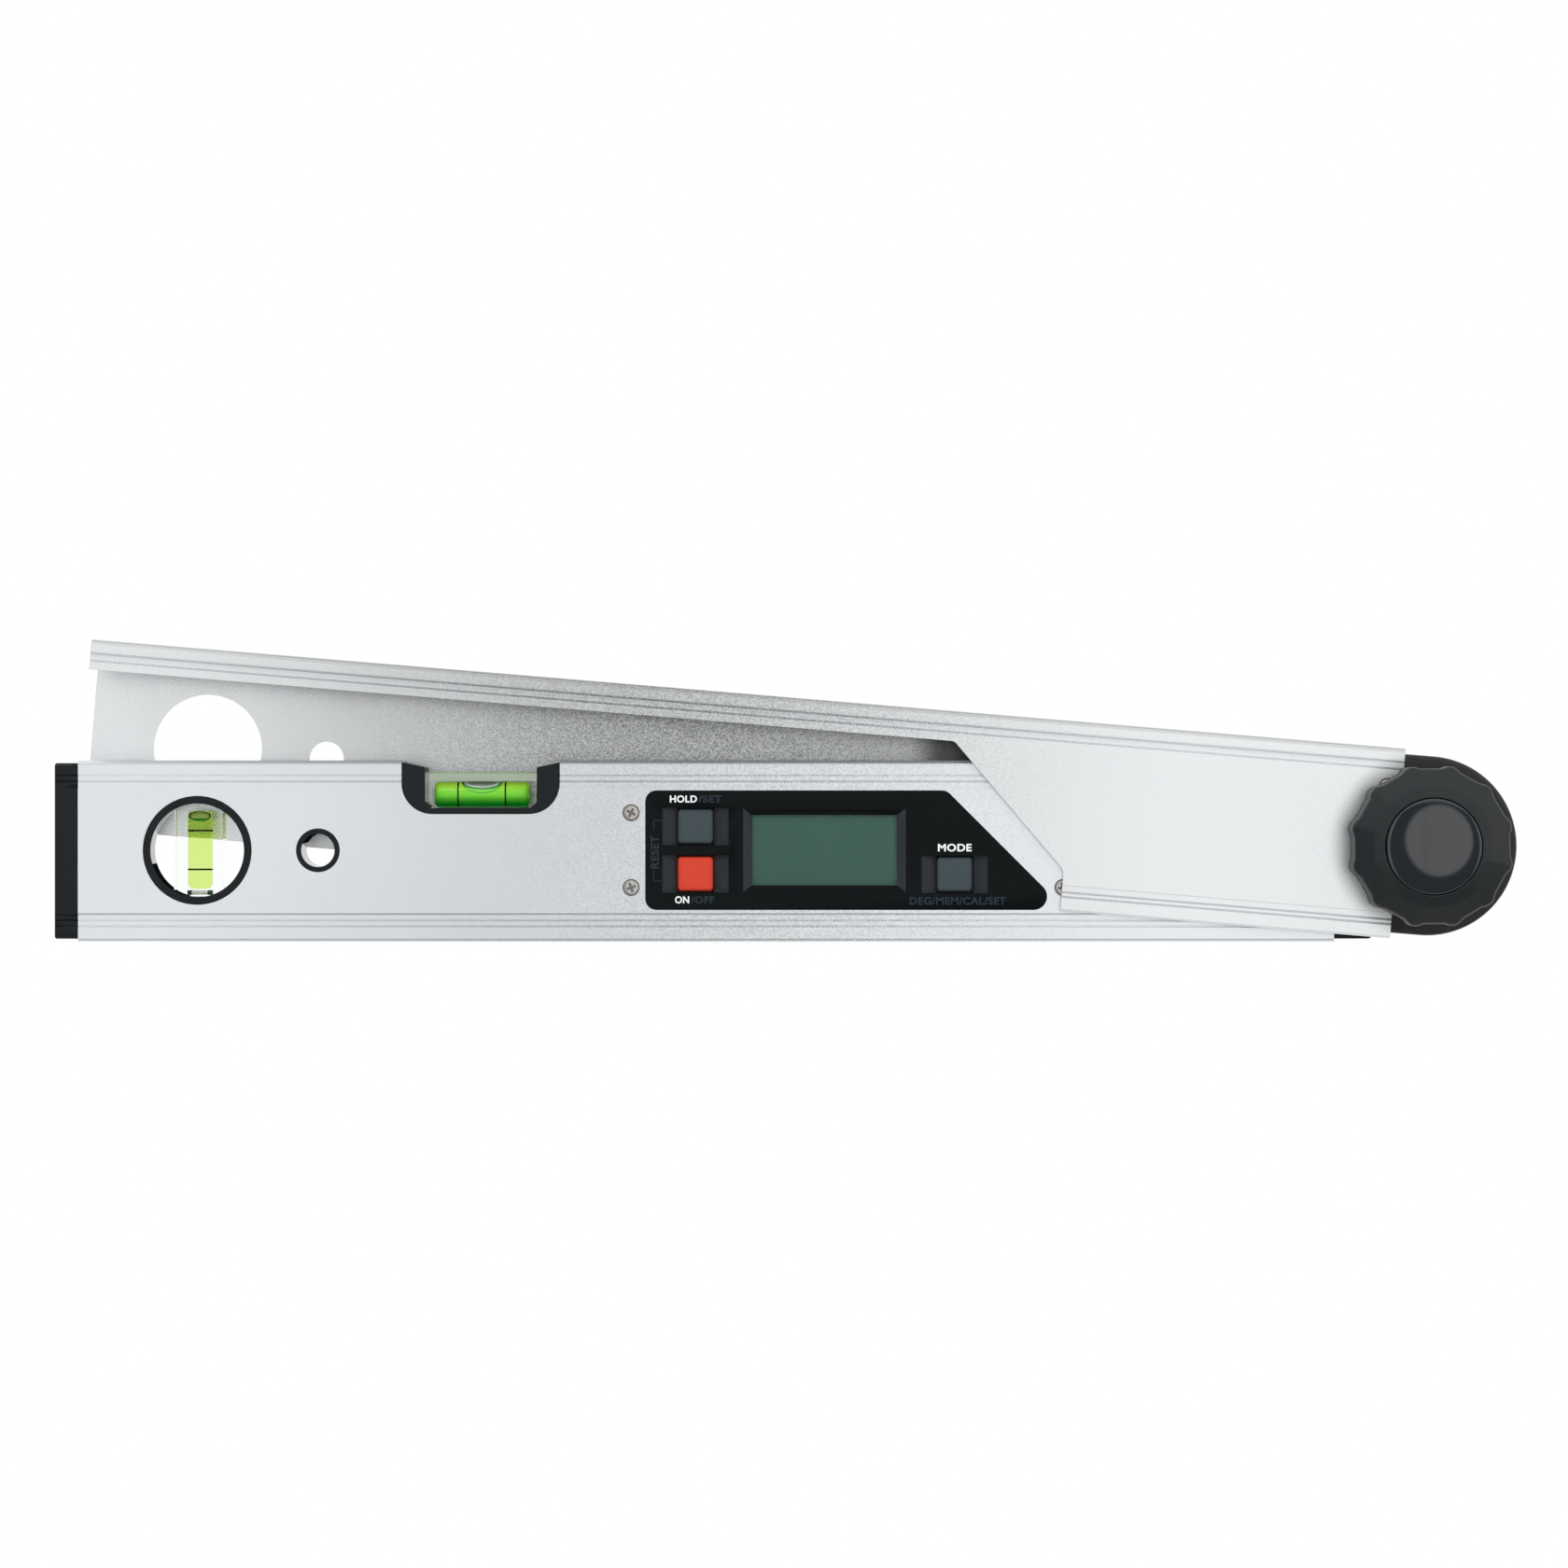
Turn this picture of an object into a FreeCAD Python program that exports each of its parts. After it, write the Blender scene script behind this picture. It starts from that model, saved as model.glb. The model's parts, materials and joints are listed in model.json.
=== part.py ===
import FreeCAD, Part
import math
import os
import Sketcher

# Angle finder: a box-section base arm with two spirit vials and a display, and a channel-section
# swing arm that folds over it and turns about one bolt, which a lobed knob clamps.
#
# The origin is the middle of the base arm's measuring face, X runs along the base arm towards the
# pivot, the display looks towards -Y and Z is up. Lengths are in millimetres, angles in degrees.

SIZES = {
    # base arm: extruded box section
    "base_length": 381.5,
    "base_height": 55.0,
    "base_depth": 22.0,
    "base_side_wall": 1.8,
    "base_edge_wall": 2.4,
    "base_groove_low": 4.6,
    "base_groove_high": 6.4,
    "base_band": 8.3,
    # ribs and grooves that both extrusions share
    "edge_chamfer": 0.9,
    "band_drop": 0.4,
    "groove_half": 0.3,
    "groove_cut": 0.35,
    # end cap of the base arm
    "end_cap_length": 7.1,
    "end_cap_inset": 0.8,
    "end_cap_round": 0.7,
    "plug_length": 14.0,
    "plug_gap": 0.1,
    # pivot
    "pivot_rise": 1.6,
    "pivot_reach": 28.0,
    "rest_angle": 4.75,
    "fit_gap": 0.05,
    "bolt_radius": 4.0,
    "bolt_head_flats": 13.0,
    "bolt_head_height": 2.4,
    # hinge housing of the base arm
    "foot_reach": 16.4,
    "foot_inset": 0.9,
    "foot_round": 1.5,
    "housing_plug": 22.0,
    "tongue_margin": 2.2,
    "tongue_gap": 0.5,
    "bush_wall": 2.0,
    "washer_radius": 9.0,
    "washer_thickness": 0.5,
    "washer_gap": 0.1,
    "board_inner_radius": 11.0,
    "board_outer_radius": 19.5,
    "board_thickness": 1.0,
    "ribbon_width": 6.0,
    "ribbon_thickness": 0.3,
    # swing arm: extruded channel section
    "swing_tip_gap": 0.6,
    "swing_start": 8.9,
    "roof_gap": 0.5,
    "swing_side_wall": 2.0,
    "swing_top_wall": 2.5,
    "arm_gap": 0.5,
    "swing_edge_chamfer": 1.4,
    "swing_groove_low": 4.3,
    "swing_groove_high": 5.7,
    "swing_band": 7.8,
    "lip_height": 9.15,
    "front_wall_end": 109.3,
    "front_wall_slant": 16.5,
    "slant_top_round": 2.5,
    "slant_low_round": 4.0,
    "sight_hole_radius": 16.7,
    "swing_hang_radius": 5.3,
    # hinge caps of the swing arm
    "cap_step": 1.7,
    "cap_disc_thickness": 1.9,
    "cap_round": 1.2,
    "cap_screw_reach": 13.5,
    "cap_screw_margin": 8.1,
    "cover_radius": 14.0,
    "cover_height": 2.0,
    "cover_chamfer": 1.3,
    # clamping knob
    "knob_gap": 0.4,
    "thrust_washer_thickness": 0.8,
    "knob_radius": 24.7,
    "knob_wall_height": 15.4,
    "knob_lobes": 12,
    "knob_lobe_radius": 3.4,
    "knob_lobe_height": 1.3,
    "knob_lobe_fillet": 1.2,
    "knob_turn": -1.0,
    "knob_bevel_radius": 18.0,
    "knob_bevel_height": 3.6,
    "knob_crown_height": 1.3,
    "knob_wall": 2.6,
    "knob_floor": 1.6,
    "knob_hub_wall": 2.6,
    "knob_rib": 1.6,
    "insert_wall": 2.2,
    "badge_radius": 14.35,
    "badge_gap": 0.3,
    "badge_rise": 0.6,
    "badge_crown": 2.1,
    "badge_thickness": 1.6,
    "badge_socket": 4.2,
    # level vial
    "level_inset": 122.3,
    "level_width": 48.0,
    "level_depth": 16.3,
    "level_top_gap": 0.6,
    "level_round": 9.3,
    "level_opening": 34.1,
    "level_floor": 1.8,
    "level_chamfer": 2.0,
    "level_slope": 1.5,
    "level_recess": 0.1,
    "level_block_height": 10.9,
    "level_block_depth": 15.0,
    "level_fluid_length": 30.4,
    "level_line_spread": 7.2,
    "vial_radius": 3.9,
    "vial_gap": 0.05,
    "line_width": 0.5,
    "line_thickness": 0.12,
    # plumb vial
    "plumb_inset": 36.25,
    "plumb_rise": 0.2,
    "plumb_radius": 16.5,
    "plumb_opening": 14.2,
    "plumb_flare": 1.0,
    "plumb_flare_depth": 7.5,
    "plumb_block_width": 15.0,
    "plumb_block_depth": 12.0,
    "plumb_fluid_length": 23.8,
    "plumb_line_spread": 5.9,
    # hanging hole
    "hang_inset": 72.9,
    "hang_radius": 5.05,
    "hang_wall": 1.55,
    # display panel, measured from the level vial
    "display_offset": 50.0,
    "display_length": 127.8,
    "display_bottom": 9.6,
    "display_top_gap": 9.1,
    "display_corner": 3.4,
    "display_tip_round": 4.1,
    "bezel_thickness": 3.0,
    "bezel_gap": 0.1,
    "lcd_offset": 54.4,
    "lcd_width": 44.1,
    "lcd_tall": 21.4,
    "lcd_bevel_side": 2.6,
    "lcd_bevel_edge": 1.95,
    "lcd_bevel_depth": 1.2,
    "window_lip": 1.0,
    "window_thickness": 1.0,
    "lcd_thickness": 3.5,
    # buttons
    "button_width": 11.0,
    "button_tall": 10.8,
    "button_round": 1.1,
    "button_edge": 0.35,
    "button_gap": 0.12,
    "button_travel": 0.5,
    "button_skirt": 0.8,
    "button_skirt_thickness": 0.8,
    "left_buttons_offset": 15.25,
    "left_buttons_pitch": 14.4,
    "mode_button_offset": 93.95,
    "mode_button_drop": 7.35,
    "scoop_width": 20.1,
    "scoop_outer_depth": 0.5,
    "scoop_inner_depth": 1.9,
    "scoop_margin": 0.25,
    "switch_side": 6.0,
    "switch_height": 0.8,
    "plunger_radius": 1.7,
    # electronics and battery bay
    "circuit_thickness": 1.2,
    "circuit_margin": 1.0,
    "frame_margin": 8.3,
    "frame_edge": 2.0,
    "frame_gap": 0.1,
    "frame_floor": 1.7,
    "bay_offset": 5.0,
    "bay_length": 56.0,
    "bay_height": 25.6,
    "bay_wall": 1.2,
    "cell_clearance": 0.5,
    "cell_length": 43.7,
    "cell_nub_radius": 1.9,
    "cell_nub_height": 0.8,
    "cell_gap": 0.2,
    "contact_thickness": 0.4,
    "door_tab": 8.0,
    "door_margin": 0.6,
    # screws
    "module_screw_margin": 4.3,
    "module_screw_inset": 1.0,
    "module_screw_spread": 11.35,
    "housing_screw_inset": 11.0,
    "housing_screw_spread": 14.0,
    "screw_head_radius": 2.5,
    "screw_head_height": 0.95,
    "screw_shank_radius": 1.4,
    "screw_length": 6.5,
}

SHEET = "sizes"
TOLERANCE = 0.001


class Size:
    """A number together with the expression that ties it to the sheet."""

    def __init__(self, value, text):
        self.value = value
        self.text = text

    def joined(self, sign, other, value):
        return Size(value, "(" + self.text + " " + sign + " " + other.text + ")")

    def __add__(self, other):
        other = as_size(other)
        return self.joined("+", other, self.value + other.value)

    def __sub__(self, other):
        other = as_size(other)
        return self.joined("-", other, self.value - other.value)

    def __mul__(self, other):
        other = as_size(other)
        return self.joined("*", other, self.value * other.value)

    def __truediv__(self, other):
        other = as_size(other)
        return self.joined("/", other, self.value / other.value)

    def __radd__(self, other):
        return as_size(other) + self

    def __rsub__(self, other):
        return as_size(other) - self

    def __rmul__(self, other):
        return as_size(other) * self

    def __neg__(self):
        return as_size(0) - self


def as_size(amount):
    return amount if isinstance(amount, Size) else Size(float(amount), repr(float(amount)))


class Sizes:
    """The sheet's cells by name, such as sizes.base_length."""

    def __init__(self, cells):
        for name, value in cells.items():
            setattr(self, name, Size(float(value), SHEET + "." + name))


doc = FreeCAD.newDocument("angle_finder")
sheet = doc.addObject("Spreadsheet::Sheet", SHEET)
for row, (name, value) in enumerate(SIZES.items(), 1):
    sheet.set("A" + str(row), name)
    sheet.set("B" + str(row), str(value))
    sheet.setAlias("B" + str(row), name)
doc.recompute()
sizes = Sizes(SIZES)
nodes = []


# Building blocks ---------------------------------------------------------------------------------

def bind(thing, path, amount):
    thing.setExpression(path, as_size(amount).text)


def place(thing, x=0, y=0, z=0, angle=None):
    """Puts a piece's own origin at x, y, z, turned about Y by angle."""
    bind(thing, "Placement.Base.x", x)
    bind(thing, "Placement.Base.y", y)
    bind(thing, "Placement.Base.z", z)
    if angle is not None:
        thing.Placement.Rotation = FreeCAD.Rotation(FreeCAD.Vector(0, 1, 0), angle.value)
        bind(thing, "Placement.Rotation.Angle", angle)
    return thing


def node(thing, label):
    thing.Label = label
    nodes.append(thing)
    return thing


def box(x, y, z):
    """A box between pairs of limits."""
    piece = doc.addObject("Part::Box", "box")
    bind(piece, "Length", x[1] - x[0])
    bind(piece, "Width", y[1] - y[0])
    bind(piece, "Height", z[1] - z[0])
    return place(piece, x[0], y[0], z[0])


AXIS_TURNS = {
    "x": FreeCAD.Rotation(FreeCAD.Vector(0, 1, 0), 90),
    "y": FreeCAD.Rotation(FreeCAD.Vector(1, 0, 0), -90),
    "z": FreeCAD.Rotation(),
}


def rod(radius, along, span, x=0, y=0, z=0):
    """A cylinder along one axis, between a pair of limits on it."""
    piece = doc.addObject("Part::Cylinder", "rod")
    bind(piece, "Radius", radius)
    bind(piece, "Height", span[1] - span[0])
    start = {"x": x, "y": y, "z": z}
    start[along] = span[0]
    piece.Placement.Rotation = AXIS_TURNS[along]
    return place(piece, **start)


def fuse(*pieces):
    result = doc.addObject("Part::MultiFuse", "fuse")
    result.Shapes = list(pieces)
    return result


def cut(base, *tools):
    result = doc.addObject("Part::Cut", "cut")
    result.Base = base
    result.Tool = tools[0] if len(tools) == 1 else fuse(*tools)
    return result


def common(*pieces):
    result = doc.addObject("Part::MultiCommon", "common")
    result.Shapes = list(pieces)
    return result


def group(*pieces):
    result = doc.addObject("Part::Compound", "group")
    result.Links = list(pieces)
    return result


def tube(outer, inner, along, span, **start):
    return cut(rod(outer, along, span, **start), rod(inner, along, span, **start))


def new_body(name):
    return doc.addObject("PartDesign::Body", name)


def sketch(body, plane, offset=0):
    """A sketch on one of the body's origin planes, or offset along that plane's normal."""
    support = [feature for feature in body.Origin.OriginFeatures if feature.Role == plane][0]
    result = body.newObject("Sketcher::SketchObject", "sketch")
    result.AttachmentSupport = (support, [""])
    result.MapMode = "FlatFace"
    bind(result, "AttachmentOffset.Base.z", offset)
    return result


def hold(profile, kind, geometry, point, amount):
    """Ties one coordinate of a sketch point to the sheet."""
    index = profile.addConstraint(
        Sketcher.Constraint(kind, -1, 1, geometry, point, as_size(amount).value)
    )
    bind(profile, "Constraints[" + str(index) + "]", amount)


def hold_point(profile, geometry, point, x, y):
    hold(profile, "DistanceX", geometry, point, x)
    hold(profile, "DistanceY", geometry, point, y)


def circle(profile, radius, x=0, y=0):
    centre = FreeCAD.Vector(as_size(x).value, as_size(y).value, 0)
    normal = FreeCAD.Vector(0, 0, 1)
    index = profile.addGeometry(Part.Circle(centre, normal, as_size(radius).value), False)
    hold_point(profile, index, 3, x, y)
    bound = profile.addConstraint(Sketcher.Constraint("Radius", index, as_size(radius).value))
    bind(profile, "Constraints[" + str(bound) + "]", radius)


def corner_arc(before, corner, after, radius):
    """The arc that rounds a corner, its ends in walking order, and whether it turns left."""
    to_before = (before - corner).normalize()
    to_after = (after - corner).normalize()
    half_angle = to_before.getAngle(to_after) / 2
    reach = radius / math.tan(half_angle)
    start = corner + to_before * reach
    end = corner + to_after * reach
    bisector = (to_before + to_after).normalize()
    centre = corner + bisector * (radius / math.sin(half_angle))
    turns_left = (corner - before).cross(after - corner).z > 0
    first, last = (start, end) if turns_left else (end, start)
    angles = [math.atan2(point.y - centre.y, point.x - centre.x) for point in (first, last)]
    ring = Part.Circle(centre, FreeCAD.Vector(0, 0, 1), radius)
    return Part.ArcOfCircle(ring, angles[0], angles[1]), start, end, turns_left


def outline(profile, corners):
    """A closed outline of (x, y) corners, or (x, y, radius) where a corner is round."""
    count = len(corners)
    points = [FreeCAD.Vector(as_size(c[0]).value, as_size(c[1]).value, 0) for c in corners]
    arcs = {}
    for place_in_row, corner in enumerate(corners):
        if len(corner) == 3:
            before = points[place_in_row - 1]
            after = points[(place_in_row + 1) % count]
            radius = as_size(corner[2]).value
            arcs[place_in_row] = corner_arc(before, points[place_in_row], after, radius)
    lines = []
    for place_in_row, point in enumerate(points):
        following = (place_in_row + 1) % count
        start = arcs[place_in_row][2] if place_in_row in arcs else point
        end = arcs[following][1] if following in arcs else points[following]
        lines.append(profile.addGeometry(Part.LineSegment(start, end), False))
    for place_in_row, corner in enumerate(corners):
        incoming = lines[place_in_row - 1]
        outgoing = lines[place_in_row]
        if place_in_row not in arcs:
            profile.addConstraint(Sketcher.Constraint("Coincident", incoming, 2, outgoing, 1))
            hold_point(profile, outgoing, 1, corner[0], corner[1])
            continue
        arc, start, end, turns_left = arcs[place_in_row]
        curve = profile.addGeometry(arc, False)
        first, last = (1, 2) if turns_left else (2, 1)
        profile.addConstraint(Sketcher.Constraint("Tangent", incoming, 2, curve, first))
        profile.addConstraint(Sketcher.Constraint("Tangent", outgoing, 1, curve, last))
        tip = profile.addGeometry(Part.Point(points[place_in_row]), True)
        profile.addConstraint(Sketcher.Constraint("PointOnObject", tip, 1, incoming))
        profile.addConstraint(Sketcher.Constraint("PointOnObject", tip, 1, outgoing))
        hold_point(profile, tip, 1, corner[0], corner[1])
        radius = as_size(corner[2])
        bound = profile.addConstraint(Sketcher.Constraint("Radius", curve, radius.value))
        bind(profile, "Constraints[" + str(bound) + "]", radius)


def round_end(profile, start, radius):
    """A strip from start to the sketch's origin, closed by a half circle about that origin."""
    reach = as_size(start).value
    half = as_size(radius).value
    low = FreeCAD.Vector(0, -half, 0)
    high = FreeCAD.Vector(0, half, 0)
    far_low = FreeCAD.Vector(reach, -half, 0)
    far_high = FreeCAD.Vector(reach, half, 0)
    ring = Part.Circle(FreeCAD.Vector(), FreeCAD.Vector(0, 0, 1), half)
    arc = profile.addGeometry(Part.ArcOfCircle(ring, -math.pi / 2, math.pi / 2), False)
    top = profile.addGeometry(Part.LineSegment(high, far_high), False)
    side = profile.addGeometry(Part.LineSegment(far_high, far_low), False)
    bottom = profile.addGeometry(Part.LineSegment(far_low, low), False)
    for kind, *ends in (
        ("Coincident", arc, 3, -1, 1),
        ("Tangent", arc, 2, top, 1),
        ("Tangent", bottom, 2, arc, 1),
        ("Coincident", top, 2, side, 1),
        ("Coincident", side, 2, bottom, 1),
        ("Horizontal", top),
        ("Horizontal", bottom),
        ("Vertical", side),
    ):
        profile.addConstraint(Sketcher.Constraint(kind, *ends))
    hold(profile, "DistanceX", side, 1, start)
    bound = profile.addConstraint(Sketcher.Constraint("Radius", arc, half))
    bind(profile, "Constraints[" + str(bound) + "]", radius)


def rectangle(profile, x, y, radius=None):
    """A rectangle between pairs of limits, with round corners if a radius is given."""
    corners = [(x[0], y[0]), (x[1], y[0]), (x[1], y[1]), (x[0], y[1])]
    outline(profile, corners if radius is None else [corner + (radius,) for corner in corners])


def feature(body, kind, profile, **settings):
    result = body.newObject("PartDesign::" + kind, kind.lower())
    result.Profile = profile
    for name, setting in settings.items():
        if isinstance(setting, Size):
            bind(result, name, setting)
        else:
            setattr(result, name, setting)
    doc.recompute()
    return result


def pad(body, profile, length, **settings):
    return feature(body, "Pad", profile, Length=as_size(length), **settings)


def pocket(body, profile, depth=None, **settings):
    if depth is None:
        return feature(body, "Pocket", profile, Type="ThroughAll", **settings)
    return feature(body, "Pocket", profile, Length=as_size(depth), **settings)


def revolve(body, profile, kind="Revolution"):
    """Turns an (x, y) profile a full turn about the sketch's own vertical axis."""
    return feature(body, kind, profile, ReferenceAxis=(profile, ["V_Axis"]), Angle=360.0)


def repeat_round(body, step, count):
    """Repeats a feature around the body's Y axis."""
    pattern = body.newObject("PartDesign::PolarPattern", "pattern")
    pattern.Originals = [step]
    axis = [f for f in body.Origin.OriginFeatures if f.Role == "Y_Axis"][0]
    pattern.Axis = (axis, [""])
    pattern.Angle = 360
    bind(pattern, "Occurrences", count)
    body.Tip = pattern
    doc.recompute()
    return pattern


def round_edges(body, names, radius):
    base = body.Tip
    result = body.newObject("PartDesign::Fillet", "fillet")
    result.Base = (base, names)
    bind(result, "Radius", radius)
    body.Tip = result
    doc.recompute()
    return result


def chamfer_edges(body, names, size):
    base = body.Tip
    result = body.newObject("PartDesign::Chamfer", "chamfer")
    result.Base = (base, names)
    bind(result, "Size", size)
    body.Tip = result
    doc.recompute()
    return result


def edges_in_plane(body, axis, amount):
    """Numbers of the body's edges that lie wholly at one coordinate."""
    wanted = as_size(amount).value
    found = []
    for number, edge in enumerate(body.Shape.Edges, 1):
        limits = edge.BoundBox
        low = getattr(limits, axis + "Min")
        high = getattr(limits, axis + "Max")
        if abs(low - wanted) < TOLERANCE and abs(high - wanted) < TOLERANCE:
            found.append(number)
    return found


def edge_names(numbers):
    return ["Edge" + str(number) for number in numbers]


def edges_through(body):
    """Numbers of the body's straight edges that run front to back."""
    found = []
    for number, edge in enumerate(body.Shape.Edges, 1):
        limits = edge.BoundBox
        if limits.XLength < TOLERANCE and limits.ZLength < TOLERANCE:
            found.append(number)
    return found


# Shared places -----------------------------------------------------------------------------------

half_base_length = sizes.base_length / 2
half_base_depth = sizes.base_depth / 2
inner_depth = half_base_depth - sizes.base_side_wall
pivot_x = half_base_length + sizes.pivot_reach
base_middle = sizes.base_height / 2
pivot_z = base_middle + sizes.pivot_rise

swing_inner = half_base_depth + sizes.arm_gap
swing_outer = swing_inner + sizes.swing_side_wall
roof = sizes.base_height - pivot_z + sizes.roof_gap
half_swing_height = roof + sizes.swing_top_wall
swing_tip = sizes.swing_tip_gap - half_base_length - pivot_x
cap_radius = half_swing_height - sizes.cap_step
tongue_radius = cap_radius - sizes.tongue_margin

level_x = sizes.level_inset - half_base_length
plumb_x = sizes.plumb_inset - half_base_length
hang_x = sizes.hang_inset - half_base_length
level_bottom = sizes.base_height - sizes.level_depth
plumb_z = base_middle + sizes.plumb_rise

display_left = level_x + sizes.display_offset
display_tip_x = display_left + sizes.display_length
display_top = sizes.base_height - sizes.display_top_gap
display_height = display_top - sizes.display_bottom
display_middle = sizes.display_bottom + display_height / 2
bezel_back = sizes.bezel_thickness - half_base_depth

left_buttons_x = display_left + sizes.left_buttons_offset
mode_button_x = display_left + sizes.mode_button_offset
lcd_x = display_left + sizes.lcd_offset

window_front = sizes.lcd_bevel_depth - half_base_depth
lcd_front = window_front + sizes.window_thickness
circuit_front = lcd_front + sizes.lcd_thickness
circuit_back = circuit_front + sizes.circuit_thickness
frame_front = sizes.frame_gap - inner_depth
frame_floor_front = circuit_back + sizes.frame_gap
frame_floor_back = frame_floor_front + sizes.frame_floor

bay_left = display_left - sizes.frame_margin + sizes.bay_offset
module_screw_xs = (
    display_left - sizes.module_screw_margin,
    display_tip_x - sizes.module_screw_inset,
)
module_screw_zs = (
    display_middle - sizes.module_screw_spread,
    display_middle + sizes.module_screw_spread,
)

cap_back = swing_inner - sizes.cap_disc_thickness
half_tongue = cap_back - sizes.washer_gap - sizes.washer_thickness
bush_radius = sizes.bolt_radius + sizes.fit_gap + sizes.bush_wall


def at_pivot(thing, label):
    """Places a piece of the swing arm or knob, whose own origin is on the pivot."""
    return node(place(thing, pivot_x, 0, pivot_z, sizes.rest_angle), label)


def on_base(thing, label, x=0, y=0, z=0):
    return node(place(thing, x, y, z), label)


# Screws ------------------------------------------------------------------------------------------

def screw(x, z, face, inward, length):
    """A flat-headed screw in a wall, its head at face and its shank running inward along Y."""
    head_end = face + inward * sizes.screw_head_height
    shank_end = head_end + inward * length
    head = sorted_span(face, head_end, inward)
    shank = sorted_span(head_end, shank_end, inward)
    return fuse(
        rod(sizes.screw_head_radius, "y", head, x=x, z=z),
        rod(sizes.screw_shank_radius, "y", shank, x=x, z=z),
    )


def sorted_span(first, last, along):
    return (first, last) if along > 0 else (last, first)


def screw_seats(body, places, face, inward, wall):
    """Counterbored holes for screws in one wall of a body."""
    seat = sketch(body, "XZ_Plane", -face)
    for x, z in places:
        circle(seat, sizes.screw_head_radius + sizes.bezel_gap, x, z)
    pocket(body, seat, sizes.screw_head_height + sizes.fit_gap, Reversed=inward < 0)
    hole = sketch(body, "XZ_Plane", -face)
    for x, z in places:
        circle(hole, sizes.screw_shank_radius + sizes.bezel_gap, x, z)
    pocket(body, hole, wall * 2, Reversed=inward < 0)


# Extruded sections -------------------------------------------------------------------------------

def ribbed_side(side, half_depth, edge, up, chamfer, grooves, band):
    """Corners of one outer side near one edge, from the edge towards the middle.

    The middle of the face stands proud of the band along the edge, and two fine grooves run
    along the band."""
    rail = half_depth - sizes.band_drop
    corners = [(side * (rail - chamfer), edge), (side * rail, edge + up * chamfer)]
    for groove in grooves:
        middle = edge + up * groove
        corners += [
            (side * rail, middle - up * sizes.groove_half),
            (side * (rail - sizes.groove_cut), middle),
            (side * rail, middle + up * sizes.groove_half),
        ]
    corners += [(side * rail, edge + up * band), (side * half_depth, edge + up * band)]
    return corners


base_grooves = (sizes.base_groove_low, sizes.base_groove_high)
swing_grooves = (sizes.swing_groove_low, sizes.swing_groove_high)


def base_section(half_depth, bottom, top, inset):
    """The base arm's outer section, from bottom to top, its bands moved in by inset."""
    chamfer = sizes.edge_chamfer
    grooves = [groove - inset for groove in base_grooves]
    band = sizes.base_band - inset
    right_low = ribbed_side(1, half_depth, bottom, 1, chamfer, grooves, band)
    right_high = ribbed_side(1, half_depth, top, -1, chamfer, grooves, band)
    left_high = ribbed_side(-1, half_depth, top, -1, chamfer, grooves, band)
    left_low = ribbed_side(-1, half_depth, bottom, 1, chamfer, grooves, band)
    return right_low + right_high[::-1] + left_high + left_low[::-1]


def hollow_limits(gap=0):
    """The inside of the base arm's section, smaller by gap all round."""
    depth = (gap - inner_depth, inner_depth - gap)
    height = (sizes.base_edge_wall + gap, sizes.base_height - sizes.base_edge_wall - gap)
    return depth, height


def level_corners(gap=0):
    """Left, bottom and right of the level vial's notch, smaller by gap."""
    half_width = sizes.level_width / 2 - gap
    bottom = level_bottom + gap
    radius = sizes.level_round - gap
    return half_width, bottom, radius


def panel_corners(margin, radius=None, tip_radius=None):
    """The display panel's outline, larger by margin, with its slanted end."""
    left = display_left - margin
    low = sizes.display_bottom - margin
    high = display_top + margin
    slant = display_tip_x + sizes.display_bottom + margin * math.sqrt(2)
    corners = [(left, low), (slant - low, low), (slant - high, high), (left, high)]
    if radius is None:
        return corners
    radii = (radius, tip_radius, radius, radius)
    return [corner + (rounding,) for corner, rounding in zip(corners, radii)]


def base_arm_extrusion():
    body = new_body("base_arm_extrusion")
    section = sketch(body, "YZ_Plane")
    outline(section, base_section(half_base_depth, as_size(0), sizes.base_height, 0))
    rectangle(section, *hollow_limits())
    pad(body, section, sizes.base_length, Midplane=True)

    notch = sketch(body, "XZ_Plane")
    half_width, bottom, radius = level_corners()
    above = sizes.base_height + 1
    outline(notch, [
        (level_x - half_width, bottom, radius),
        (level_x + half_width, bottom, radius),
        (level_x + half_width, above),
        (level_x - half_width, above),
    ])
    pocket(body, notch, sizes.base_depth * 2, Midplane=True)

    holes = sketch(body, "XZ_Plane")
    circle(holes, sizes.plumb_radius + sizes.fit_gap, plumb_x, plumb_z)
    circle(holes, sizes.hang_radius + sizes.hang_wall + sizes.fit_gap, hang_x, plumb_z)
    pocket(body, holes, sizes.base_depth * 2, Midplane=True)

    window = sketch(body, "XZ_Plane", half_base_depth)
    outline(window, panel_corners(0, sizes.display_corner, sizes.display_tip_round))
    pocket(body, window, half_base_depth)

    door = sketch(body, "XZ_Plane", -half_base_depth)
    rectangle(door, *door_limits(0))
    pocket(body, door, half_base_depth, Reversed=True)

    module = [(x, z) for x in module_screw_xs for z in module_screw_zs]
    screw_seats(body, module, -half_base_depth, 1, sizes.base_side_wall)
    screw_seats(body, housing_screw_places(), half_base_depth, -1, sizes.base_side_wall)
    on_base(body, "base_arm_extrusion")


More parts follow.
